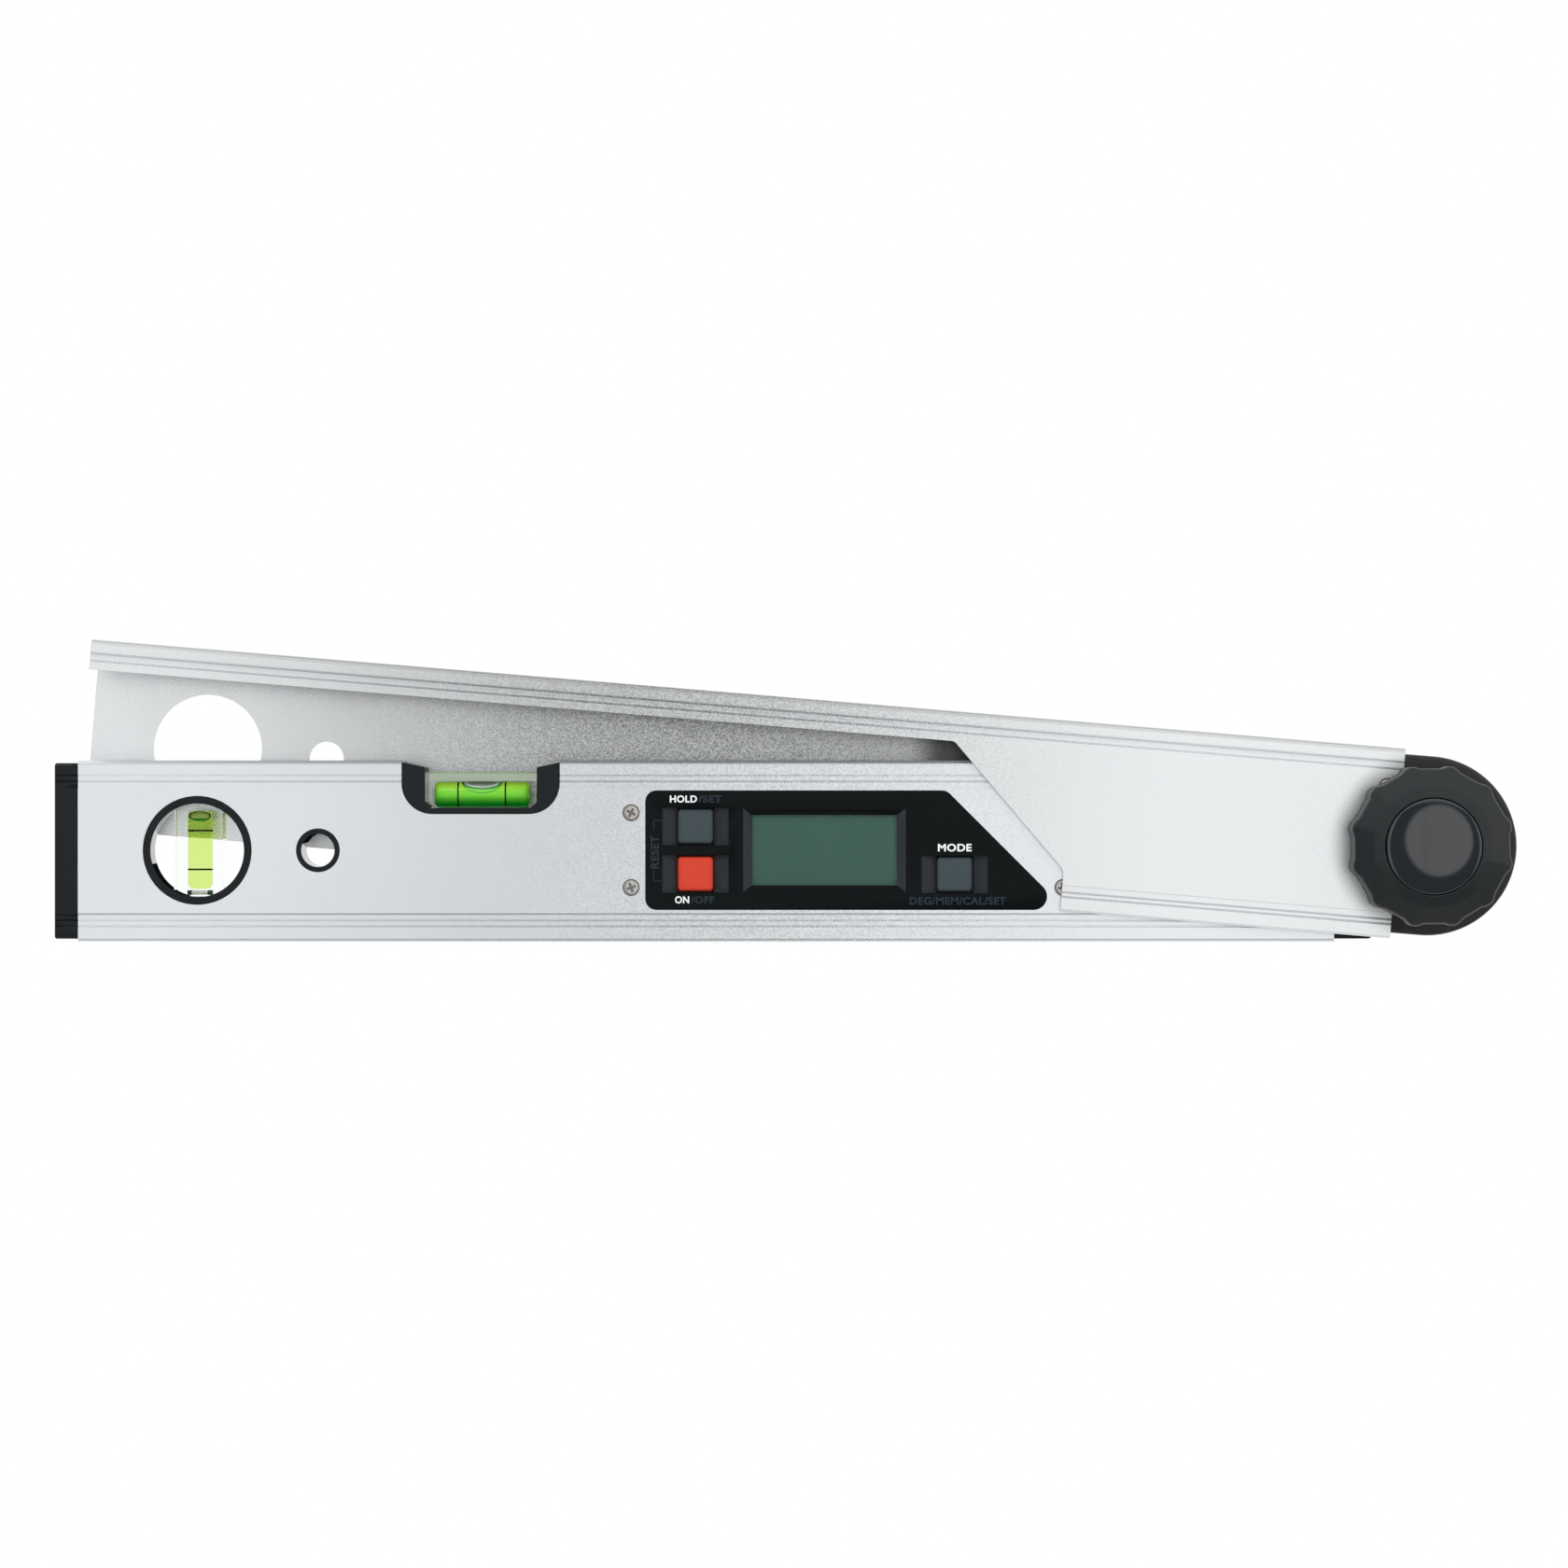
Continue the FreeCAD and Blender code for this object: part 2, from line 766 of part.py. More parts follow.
def base_end_cap():
    """A moulded plug that closes the far end, its face following the extrusion's section."""
    inset = sizes.end_cap_inset
    half_depth = half_base_depth - inset / 2
    low, high = inset, sizes.base_height - inset
    ribbed = new_body("ribbed_face")
    section = sketch(ribbed, "YZ_Plane")
    outline(section, base_section(half_depth, low, high, inset))
    pad(ribbed, section, sizes.end_cap_length, Reversed=True)

    blank = new_body("rounded_blank")
    block = sketch(blank, "YZ_Plane")
    rectangle(block, (-half_depth, half_depth), (low, high))
    pad(blank, block, sizes.end_cap_length, Reversed=True)
    rim = edge_names(edges_in_plane(blank, "X", -sizes.end_cap_length))
    round_edges(blank, rim, sizes.end_cap_round)

    plug = new_body("hollow_plug")
    face = sketch(plug, "YZ_Plane")
    rectangle(face, *hollow_limits(sizes.plug_gap))
    rectangle(face, *hollow_limits(sizes.plug_gap + sizes.base_side_wall))
    pad(plug, face, sizes.plug_length)
    on_base(fuse(common(ribbed, blank), plug), "base_end_cap", x=-half_base_length)


# Hinge, base side --------------------------------------------------------------------------------

def housing_screw_places():
    x = half_base_length - sizes.housing_screw_inset
    return [
        (x, base_middle - sizes.housing_screw_spread),
        (x, base_middle + sizes.housing_screw_spread),
    ]


def hinge_housing():
    """A plug in the extrusion, a foot as deep as the arm, and a thinner round tongue."""
    body = new_body("hinge_housing")
    start = -sizes.pivot_reach
    low = sizes.foot_inset - pivot_z
    high = sizes.base_height - sizes.foot_inset - pivot_z
    foot = sketch(body, "XZ_Plane")
    outline(foot, [
        (start, low),
        (-sizes.foot_reach, low, sizes.foot_round),
        (-sizes.foot_reach, high, sizes.foot_round),
        (start, high),
    ])
    foot_depth = sizes.base_depth - sizes.band_drop * 2
    pad(body, foot, foot_depth, Midplane=True)
    for side in (1, -1):
        sweep = sketch(body, "XZ_Plane", side * foot_depth / 2)
        circle(sweep, tongue_radius + sizes.tongue_gap)
        pocket(body, sweep, foot_depth / 2 - half_tongue, Reversed=side < 0)
    tongue = sketch(body, "XZ_Plane")
    circle(tongue, tongue_radius)
    pad(body, tongue, half_tongue * 2, Midplane=True)
    plug = sketch(body, "YZ_Plane", start)
    depth, height = hollow_limits(sizes.plug_gap)
    rectangle(plug, depth, (height[0] - pivot_z, height[1] - pivot_z))
    pad(body, plug, sizes.housing_plug, Reversed=True)
    bore = sketch(body, "XZ_Plane")
    circle(bore, bush_radius)
    pocket(body, bore, sizes.base_depth * 2, Midplane=True)
    seat = sketch(body, "XZ_Plane", half_tongue)
    circle(seat, sizes.board_outer_radius + sizes.bezel_gap)
    circle(seat, sizes.board_inner_radius - sizes.bezel_gap)
    pocket(body, seat, sizes.board_thickness)
    half_width = sizes.ribbon_width / 2 + sizes.bezel_gap
    run = sketch(body, "XZ_Plane", half_tongue - sizes.board_thickness)
    rectangle(run, (start - sizes.housing_plug, -sizes.board_inner_radius), (-half_width, half_width))
    pocket(body, run, ribbon_rise() + sizes.ribbon_thickness * 2)
    drill = sketch(body, "XZ_Plane", -half_base_depth)
    for x, z in housing_screw_places():
        circle(drill, sizes.screw_shank_radius + sizes.fit_gap, x - pivot_x, z - pivot_z)
    pocket(body, drill, sizes.screw_length + sizes.base_side_wall, Reversed=True)
    on_base(body, "hinge_housing", x=pivot_x, z=pivot_z)


def ribbon_rise():
    """How far the ribbon steps forward, from the circuit board to the back of the encoder."""
    return circuit_front + half_tongue - sizes.board_thickness


def hinge_bush():
    bush = tube(bush_radius, sizes.bolt_radius + sizes.fit_gap, "y", (-half_tongue, half_tongue))
    on_base(bush, "hinge_bush", x=pivot_x, z=pivot_z)


def friction_washers():
    inner = sizes.bolt_radius + sizes.fit_gap * 2
    faces = ((-half_tongue - sizes.washer_thickness, -half_tongue),
             (half_tongue, half_tongue + sizes.washer_thickness))
    washers = group(*[tube(sizes.washer_radius, inner, "y", span) for span in faces])
    on_base(washers, "friction_washers", x=pivot_x, z=pivot_z)


def encoder_board():
    """The fixed ring of the angle sensor, let into the front of the tongue."""
    span = (-half_tongue, sizes.board_thickness - half_tongue)
    board = tube(sizes.board_outer_radius, sizes.board_inner_radius, "y", span)
    on_base(board, "encoder_board", x=pivot_x, z=pivot_z)


def encoder_ribbon():
    """A flat cable from the circuit board to the back of the encoder board."""
    body = new_body("encoder_ribbon")
    near = display_tip_x - display_height - pivot_x + sizes.circuit_margin
    far = -(sizes.board_inner_radius + sizes.board_outer_radius) / 2
    bend = -sizes.pivot_reach
    back = circuit_front - sizes.fit_gap
    front = back - ribbon_rise() + sizes.fit_gap * 2
    thick = sizes.ribbon_thickness
    path = sketch(body, "XY_Plane")
    outline(path, [
        (near, back),
        (near, back - thick),
        (bend - ribbon_rise(), back - thick),
        (bend, front),
        (far, front),
        (far, front + thick),
        (bend + thick / 2, front + thick),
        (bend - ribbon_rise() + thick / 2, back),
    ])
    pad(body, path, sizes.ribbon_width, Midplane=True)
    on_base(body, "encoder_ribbon", x=pivot_x, z=pivot_z)


# Vials and hanging hole --------------------------------------------------------------------------

def level_vial():
    half_width, bottom, radius = level_corners(sizes.fit_gap)
    half_opening = sizes.level_opening / 2
    top = sizes.base_height - sizes.level_top_gap
    floor = level_bottom + sizes.level_floor
    chamfer = sizes.level_chamfer
    holder = new_body("level_vial_holder")
    shape = sketch(holder, "XZ_Plane")
    outline(shape, [
        (-half_width, top),
        (-half_width, bottom, radius),
        (half_width, bottom, radius),
        (half_width, top),
        (half_opening, top - sizes.level_slope),
        (half_opening, floor + chamfer),
        (half_opening - chamfer, floor),
        (chamfer - half_opening, floor),
        (-half_opening, floor + chamfer),
        (-half_opening, top - sizes.level_slope),
    ])
    pad(holder, shape, sizes.base_depth - sizes.level_recess * 2, Midplane=True)
    on_base(holder, "level_vial_holder", x=level_x)

    gap = sizes.vial_gap
    half_block = half_opening - gap
    block_top = floor + sizes.level_block_height
    vial_z = floor + sizes.vial_radius + sizes.line_width / 2
    block = new_body("clear_blank")
    shape = sketch(block, "XZ_Plane")
    outline(shape, [
        (-half_block, block_top),
        (-half_block, floor + chamfer + gap),
        (chamfer - half_block, floor + gap),
        (half_block - chamfer, floor + gap),
        (half_block, floor + chamfer + gap),
        (half_block, block_top),
    ])
    pad(block, shape, sizes.level_block_depth, Midplane=True)
    half_fluid = sizes.level_fluid_length / 2
    chamber = rod(sizes.vial_radius, "x", (-half_fluid, half_fluid), z=vial_z)
    on_base(cut(block, chamber), "level_vial_block", x=level_x)

    fluid_radius = sizes.vial_radius - sizes.line_thickness - gap * 2
    left, right = level_x - half_fluid + gap, level_x + half_fluid - gap
    node(rod(fluid_radius, "x", (left, right), z=vial_z), "level_vial_fluid")
    rings = vial_lines("x", sizes.level_line_spread, fluid_radius + gap, z=vial_z)
    on_base(rings, "level_vial_rings", x=level_x)


def vial_lines(along, spread, inner, **start):
    """The pair of printed rings that the bubble is read between."""
    half = sizes.line_width / 2
    spans = ((-spread - half, half - spread), (spread - half, spread + half))
    outer = inner + sizes.line_thickness
    return group(*[tube(outer, inner, along, span, **start) for span in spans])


def plumb_vial():
    """A clear block between two snap-in bezels, the rear one flared towards the back."""
    opening = sizes.plumb_opening
    front = sizes.level_recess - half_base_depth
    zero = as_size(0)
    bezel = tube(sizes.plumb_radius, opening, "y", (front, zero))
    on_base(bezel, "plumb_bezel_front", x=plumb_x, z=plumb_z)
    flare = doc.addObject("Part::Cone", "flare")
    bind(flare, "Radius1", opening)
    bind(flare, "Radius2", opening + sizes.plumb_flare)
    bind(flare, "Height", sizes.plumb_flare_depth)
    flare.Placement.Rotation = AXIS_TURNS["y"]
    place(flare, y=-front - sizes.plumb_flare_depth)
    bezel = cut(tube(sizes.plumb_radius, opening, "y", (zero, -front)), flare)
    on_base(bezel, "plumb_bezel_rear", x=plumb_x, z=plumb_z)

    half_width = sizes.plumb_block_width / 2
    half_depth = sizes.plumb_block_depth / 2
    depth = (-half_depth, half_depth)
    slab = box((-half_width, half_width), depth, (-opening, opening))
    disc = rod(opening - sizes.vial_gap, "y", depth)
    half_fluid = sizes.plumb_fluid_length / 2
    chamber = rod(sizes.vial_radius, "z", (-half_fluid, half_fluid))
    block = cut(common(slab, disc), chamber)
    on_base(block, "plumb_vial_block", x=plumb_x, z=plumb_z)

    gap = sizes.vial_gap
    fluid_radius = sizes.vial_radius - sizes.line_thickness - gap * 2
    low, high = plumb_z - half_fluid + gap, plumb_z + half_fluid - gap
    node(rod(fluid_radius, "z", (low, high), x=plumb_x), "plumb_vial_fluid")
    rings = vial_lines("z", sizes.plumb_line_spread, fluid_radius + gap)
    on_base(rings, "plumb_vial_rings", x=plumb_x, z=plumb_z)


def hang_hole_bush():
    outer = sizes.hang_radius + sizes.hang_wall
    bush = tube(outer, sizes.hang_radius, "y", (-half_base_depth, half_base_depth))
    on_base(bush, "hang_hole_bush", x=hang_x, z=plumb_z)


# Display -----------------------------------------------------------------------------------------

buttons = (
    ("button_hold", left_buttons_x, display_middle + sizes.left_buttons_pitch / 2),
    ("button_power", left_buttons_x, display_middle - sizes.left_buttons_pitch / 2),
    ("button_mode", mode_button_x, display_middle - sizes.mode_button_drop),
)


def lcd_limits(side, edge):
    """The visible screen, larger by side and edge."""
    half_width = sizes.lcd_width / 2 + side
    half_tall = sizes.lcd_tall / 2 + edge
    return (
        (lcd_x - half_width, lcd_x + half_width),
        (display_middle - half_tall, display_middle + half_tall),
    )


def button_limits(x, z, margin):
    half_width = sizes.button_width / 2 + margin
    half_tall = sizes.button_tall / 2 + margin
    return (x - half_width, x + half_width), (z - half_tall, z + half_tall)


def display_bezel():
    """The moulded panel: a bevelled screen opening and a finger scoop around each button."""
    body = new_body("display_bezel")
    face = sketch(body, "XZ_Plane", -bezel_back)
    gap = sizes.bezel_gap
    corner = sizes.display_corner - gap
    outline(face, panel_corners(-gap, corner, sizes.display_tip_round - gap))
    pad(body, face, sizes.bezel_thickness)

    mouth = sketch(body, "XZ_Plane", half_base_depth)
    rectangle(mouth, *lcd_limits(sizes.lcd_bevel_side, sizes.lcd_bevel_edge))
    throat = sketch(body, "XZ_Plane", -window_front)
    rectangle(throat, *lcd_limits(0, 0))
    bevel = body.newObject("PartDesign::SubtractiveLoft", "bevel")
    bevel.Profile = mouth
    bevel.Sections = [throat]
    doc.recompute()
    seat = sketch(body, "XZ_Plane", -bezel_back)
    lip = sizes.window_lip + sizes.bezel_gap
    rectangle(seat, *lcd_limits(lip, lip))
    pocket(body, seat, bezel_back - window_front, Reversed=True)

    half_scoop = sizes.scoop_width / 2
    half_button = sizes.button_width / 2
    above = -half_base_depth - 1
    outer = sizes.scoop_outer_depth - half_base_depth
    inner = sizes.scoop_inner_depth - half_base_depth
    for _, x, z in buttons:
        scoop = sketch(body, "XY_Plane", z)
        outline(scoop, [
            (x - half_scoop, above),
            (x + half_scoop, above),
            (x + half_scoop, outer),
            (x + half_button, inner),
            (x - half_button, inner),
            (x - half_scoop, outer),
        ])
        pocket(body, scoop, sizes.button_tall + sizes.scoop_margin * 2, Midplane=True)
        hole = sketch(body, "XZ_Plane", half_base_depth)
        radius = sizes.button_round + sizes.button_gap
        rectangle(hole, *button_limits(x, z, sizes.button_gap), radius)
        pocket(body, hole, sizes.base_depth)
    on_base(body, "display_bezel")


def button_caps():
    """Each button stands flush with the panel and is kept in by a skirt behind it."""
    front = -half_base_depth
    skirt_front = bezel_back + sizes.bezel_gap
    for label, x, z in buttons:
        body = new_body(label)
        face = sketch(body, "XZ_Plane", -skirt_front)
        zero = as_size(0)
        rectangle(face, *button_limits(zero, zero, zero), sizes.button_round)
        pad(body, face, skirt_front - front)
        chamfer_edges(body, edge_names(edges_in_plane(body, "Y", front)), sizes.button_edge)
        skirt = sketch(body, "XZ_Plane", -skirt_front)
        rectangle(skirt, *button_limits(zero, zero, sizes.button_skirt))
        pad(body, skirt, sizes.button_skirt_thickness, Reversed=True)
        on_base(body, label, x=x, z=z)


def screen():
    lip = sizes.window_lip
    width, tall = lcd_limits(lip, lip)
    pane = box(width, (window_front, lcd_front), tall)
    node(pane, "display_window")
    panel = box(width, (lcd_front, circuit_front), tall)
    node(panel, "lcd_panel")


def circuit_board():
    body = new_body("circuit_board")
    face = sketch(body, "XZ_Plane", -circuit_back)
    outline(face, panel_corners(-sizes.circuit_margin))
    pad(body, face, sizes.circuit_thickness)
    on_base(body, "circuit_board")


def key_switches():
    """One low switch behind each button, clear of it by the button's travel."""
    half = sizes.switch_side / 2
    skirt_back = bezel_back + sizes.bezel_gap + sizes.button_skirt_thickness
    top = skirt_back + sizes.button_travel + sizes.fit_gap
    case_front = circuit_front - sizes.switch_height
    switches = []
    for _, x, z in buttons:
        case = box((x - half, x + half), (case_front, circuit_front), (z - half, z + half))
        plunger = rod(sizes.plunger_radius, "y", (top, case_front), x=x, z=z)
        switches.append(fuse(case, plunger))
    node(group(*switches), "key_switches")


def frame_limits():
    """The module frame's outside, seen from the front."""
    x = (display_left - sizes.frame_margin, display_tip_x + sizes.frame_edge)
    z = (sizes.display_bottom - sizes.frame_edge, display_top + sizes.frame_edge)
    return x, z


def bay_limits(wall):
    """The battery bay, smaller by wall."""
    x = (bay_left + wall, bay_left + sizes.bay_length - wall)
    half = sizes.bay_height / 2 - wall
    return x, (display_middle - half, display_middle + half)


def door_limits(gap):
    x, z = bay_limits(-sizes.door_margin)
    return (x[0] + gap, x[1] + sizes.door_tab - gap), (z[0] + gap, z[1] - gap)


def door_screw_place():
    x, z = bay_limits(-sizes.door_margin)
    return x[1] + sizes.door_tab / 2, display_middle


def module_frame():
    """The moulding that carries the electronics in front and the battery bay behind."""
    body = new_body("module_frame")
    face = sketch(body, "XZ_Plane", -frame_floor_back)
    rectangle(face, *frame_limits())
    pad(body, face, frame_floor_back - frame_front)
    tray = sketch(body, "XZ_Plane", -frame_front)
    outline(tray, panel_corners(sizes.bezel_gap))
    pocket(body, tray, frame_floor_front - frame_front)
    slot = sketch(body, "XZ_Plane", -frame_front)
    half_width = sizes.ribbon_width / 2 + sizes.bezel_gap
    near = display_tip_x - display_height
    far = display_tip_x + sizes.frame_edge + 1
    rectangle(slot, (near, far), (pivot_z - half_width, pivot_z + half_width))
    pocket(body, slot, circuit_front - frame_front)
    bay = sketch(body, "XZ_Plane", -frame_floor_back)
    rectangle(bay, *bay_limits(0))
    door_x, door_z = door_screw_place()
    boss_radius = sizes.screw_head_radius
    rear = inner_depth - sizes.frame_gap
    pad(body, bay, rear - frame_floor_back, Reversed=True)
    inside = sketch(body, "XZ_Plane", -rear)
    rectangle(inside, *bay_limits(sizes.bay_wall))
    pocket(body, inside, rear - frame_floor_back, Reversed=True)
    boss = sketch(body, "XZ_Plane", -frame_floor_back)
    circle(boss, boss_radius, door_x, door_z)
    pad(body, boss, rear - frame_floor_back, Reversed=True)
    drill = sketch(body, "XZ_Plane", -frame_front)
    for x in module_screw_xs:
        for z in module_screw_zs:
            circle(drill, sizes.screw_shank_radius + sizes.fit_gap, x, z)
    pocket(body, drill, sizes.screw_length)
    door_drill = sketch(body, "XZ_Plane", -rear)
    circle(door_drill, sizes.screw_shank_radius + sizes.fit_gap, door_x, door_z)
    pocket(body, door_drill, sizes.screw_length, Reversed=True)
    on_base(body, "module_frame")


def batteries():
    """Two AAA cells side by side, head to tail, each between a plate and a spring."""
    inner_x = bay_limits(sizes.bay_wall)[0]
    cell_radius = (inner_depth - frame_floor_back) / 2 - sizes.cell_clearance
    axis_y = frame_floor_back + cell_radius + sizes.cell_gap
    half_pitch = cell_radius + sizes.cell_gap
    total = sizes.cell_length + sizes.cell_nub_height
    room = inner_x[1] - inner_x[0]
    plate = sizes.contact_thickness
    spring_length = room - total - plate * 2
    cells = []
    contacts = []
    for side in (1, -1):
        z = display_middle + side * half_pitch
        nub_wall = inner_x[1] if side > 0 else inner_x[0]
        nub_end = nub_wall - side * plate
        can_end = nub_end - side * sizes.cell_nub_height
        base_end = can_end - side * sizes.cell_length
        nub = rod(sizes.cell_nub_radius, "x", sorted_span(can_end, nub_end, side), y=axis_y, z=z)
        can = rod(cell_radius, "x", sorted_span(base_end, can_end, side), y=axis_y, z=z)
        cells.append(fuse(can, nub))
        half = cell_radius - sizes.cell_gap
        for wall, inward in ((inner_x[0], 1), (inner_x[1], -1)):
            span = sorted_span(wall, wall + inward * plate, inward)
            contacts.append(box(span, (axis_y - half, axis_y + half), (z - half, z + half)))
        plate_face = base_end - side * spring_length
        coil_radius = cell_radius / 2
        span = sorted_span(plate_face, base_end - side * sizes.fit_gap, side)
        contacts.append(tube(coil_radius, coil_radius - plate, "x", span, y=axis_y, z=z))
    node(group(*cells), "battery_cells")
    node(group(*contacts), "battery_contacts")


def battery_door():
    body = new_body("battery_door")
    face = sketch(body, "XZ_Plane", -half_base_depth)
    rectangle(face, *door_limits(sizes.bezel_gap))
    pad(body, face, sizes.base_side_wall)
    screw_seats(body, [door_screw_place()], half_base_depth, -1, sizes.base_side_wall)
    on_base(body, "battery_door")


def base_screws():
    front = -half_base_depth + sizes.fit_gap
    rear = half_base_depth - sizes.fit_gap
    length = sizes.screw_length - sizes.screw_head_height
    module = [screw(x, z, front, 1, length) for x in module_screw_xs for z in module_screw_zs]
    node(group(*module), "module_screws")
    housing = [screw(x, z, rear, -1, length) for x, z in housing_screw_places()]
    node(group(*housing), "housing_screws")
    x, z = door_screw_place()
    node(screw(x, z, rear, -1, length), "battery_door_screw")


# Swing arm ---------------------------------------------------------------------------------------
# Its pieces are drawn level, with the pivot at their origin and the arm running towards -X.

cap_screw_spread = tongue_radius - sizes.cap_screw_margin
cap_screw_places = [(-sizes.cap_screw_reach, side * cap_screw_spread) for side in (1, -1)]


def swing_section():
    """The channel: two ribbed side walls under a top wall, open below."""
    top = half_swing_height
    low = -half_swing_height
    chamfer = sizes.swing_edge_chamfer
    band = sizes.swing_band
    right_high = ribbed_side(1, swing_outer, top, -1, chamfer, swing_grooves, band)
    left_high = ribbed_side(-1, swing_outer, top, -1, chamfer, swing_grooves, band)
    small = sizes.swing_side_wall / 4
    right_low = ribbed_side(1, swing_outer, low, 1, small, swing_grooves, band)
    left_low = ribbed_side(-1, swing_outer, low, 1, small, swing_grooves, band)
    inside = [(-swing_inner, low), (-swing_inner, roof), (swing_inner, roof), (swing_inner, low)]
    return right_low + right_high[::-1] + left_high + left_low[::-1] + inside


def swing_arm_channel():
    body = new_body("swing_arm_channel")
    section = sketch(body, "YZ_Plane", swing_tip)
    outline(section, swing_section())
    pad(body, section, -sizes.swing_start - swing_tip)

    lip = half_swing_height - sizes.lip_height
    slant = -sizes.front_wall_slant
    end = -sizes.front_wall_end
    beyond = swing_tip - 1
    opening = sketch(body, "XZ_Plane", swing_outer)
    outline(opening, [
        (end, -half_swing_height - 1),
        (end, slant, sizes.slant_low_round),
        (end - (lip - slant), lip, sizes.slant_top_round),
        (beyond, lip),
        (beyond, -half_swing_height - 1),
    ])
    pocket(body, opening, sizes.swing_side_wall * 2)

    holes = sketch(body, "XZ_Plane", -swing_outer)
    drop = plumb_z - pivot_z
    circle(holes, sizes.sight_hole_radius, plumb_x - pivot_x, drop)
    circle(holes, sizes.swing_hang_radius, hang_x - pivot_x, drop)
    pocket(body, holes, sizes.swing_side_wall * 2, Reversed=True)

    screw_seats(body, cap_screw_places, -swing_outer, 1, sizes.swing_side_wall)
    screw_seats(body, cap_screw_places, swing_outer, -1, sizes.swing_side_wall)
    at_pivot(body, "swing_arm_channel")


def hinge_cap(side, label):
    """A rounded end for one wall of the channel, with a thinner disc that lies inside it."""
    body = new_body(label)
    start = sizes.fit_gap - sizes.swing_start
    shell = sketch(body, "XZ_Plane", -side * swing_outer)
    round_end(shell, start, cap_radius)
    pad(body, shell, sizes.swing_side_wall, Reversed=side < 0)
    joint = edges_in_plane(body, "X", start)
    rim = [n for n in edges_in_plane(body, "Y", side * swing_outer) if n not in joint]
    round_edges(body, edge_names(rim), sizes.cap_round)
    disc = sketch(body, "XZ_Plane", -side * swing_inner)
    circle(disc, tongue_radius)
    pad(body, disc, sizes.cap_disc_thickness, Reversed=side < 0)
    bore = sketch(body, "XZ_Plane")
    circle(bore, sizes.bolt_radius + sizes.fit_gap)
    pocket(body, bore, swing_outer * 2, Midplane=True)
    drill = sketch(body, "XZ_Plane", -side * swing_outer)
    for x, z in cap_screw_places:
        circle(drill, sizes.screw_shank_radius + sizes.fit_gap, x, z)
    pocket(body, drill, swing_outer, Reversed=side > 0)
    if side < 0:
        seat = sketch(body, "XZ_Plane", cap_back)
        circle(seat, sizes.board_outer_radius + sizes.bezel_gap)
        circle(seat, sizes.board_inner_radius - sizes.bezel_gap)
        pocket(body, seat, sizes.board_thickness, Reversed=True)
    else:
        hexagon = sketch(body, "XZ_Plane", -swing_outer)
        outline(hexagon, hexagon_corners(sizes.bolt_head_flats / 2 + sizes.bezel_gap))
        pocket(body, hexagon, sizes.bolt_head_height + sizes.bezel_gap, Reversed=True)
    at_pivot(body, label)


def hexagon_corners(half_flats):
    corner = half_flats / math.cos(math.radians(30))
    turns = [math.radians(60 * step) for step in range(6)]
    return [(corner * math.cos(turn), corner * math.sin(turn)) for turn in turns]


def cap_screws():
    length = sizes.cap_disc_thickness + sizes.swing_side_wall - sizes.screw_head_height
    length = length - sizes.bezel_gap * 2
    for label, face, inward in (
        ("front_cap_screws", -swing_outer + sizes.fit_gap, 1),
        ("rear_cap_screws", swing_outer - sizes.fit_gap, -1),
    ):
        screws = [screw(x, z, face, inward, length) for x, z in cap_screw_places]
        at_pivot(group(*screws), label)


def encoder_disc():
    """The turning ring of the angle sensor, let into the front hinge cap."""
    span = (-cap_back - sizes.board_thickness, -cap_back)
    disc = tube(sizes.board_outer_radius, sizes.board_inner_radius, "y", span)
    at_pivot(disc, "encoder_disc")


# Clamp -------------------------------------------------------------------------------------------

washer_front = -swing_outer - sizes.thrust_washer_thickness
knob_back = -swing_outer - sizes.knob_gap
wall_front = knob_back - sizes.knob_wall_height
bevel_front = wall_front - sizes.knob_bevel_height
crown_front = bevel_front - sizes.knob_crown_height
badge_rim = crown_front - sizes.badge_rise
badge_back = badge_rim + sizes.badge_thickness
mouth_radius = sizes.badge_radius + sizes.badge_gap
socket_back = badge_back + sizes.badge_socket
knob_floor_front = socket_back + sizes.badge_gap
knob_floor_back = knob_floor_front + sizes.knob_floor
insert_radius = sizes.bolt_radius + sizes.fit_gap + sizes.insert_wall
hub_radius = insert_radius + sizes.knob_hub_wall
bolt_front = badge_back + sizes.badge_gap


def pivot_bolt():
    head_front = swing_outer - sizes.bolt_head_height
    body = new_body("pivot_bolt")
    head = sketch(body, "XZ_Plane", -swing_outer)
    outline(head, hexagon_corners(sizes.bolt_head_flats / 2))
    pad(body, head, sizes.bolt_head_height)
    shank = sketch(body, "XZ_Plane", -head_front)
    circle(shank, sizes.bolt_radius)
    pad(body, shank, head_front - bolt_front)
    at_pivot(body, "pivot_bolt")


def rear_bolt_cover():
    """A low bevelled cap over the bolt's head."""
    body = new_body("rear_bolt_cover")
    face = sketch(body, "XZ_Plane", -swing_outer - sizes.cover_height)
    circle(face, sizes.cover_radius)
    pad(body, face, sizes.cover_height)
    rear = swing_outer + sizes.cover_height
    chamfer_edges(body, edge_names(edges_in_plane(body, "Y", rear)), sizes.cover_chamfer)
    at_pivot(body, "rear_bolt_cover")


def thrust_washer():
    inner = sizes.bolt_radius + sizes.fit_gap * 2
    washer = tube(sizes.washer_radius, inner, "y", (washer_front, -swing_outer))
    at_pivot(washer, "thrust_washer")


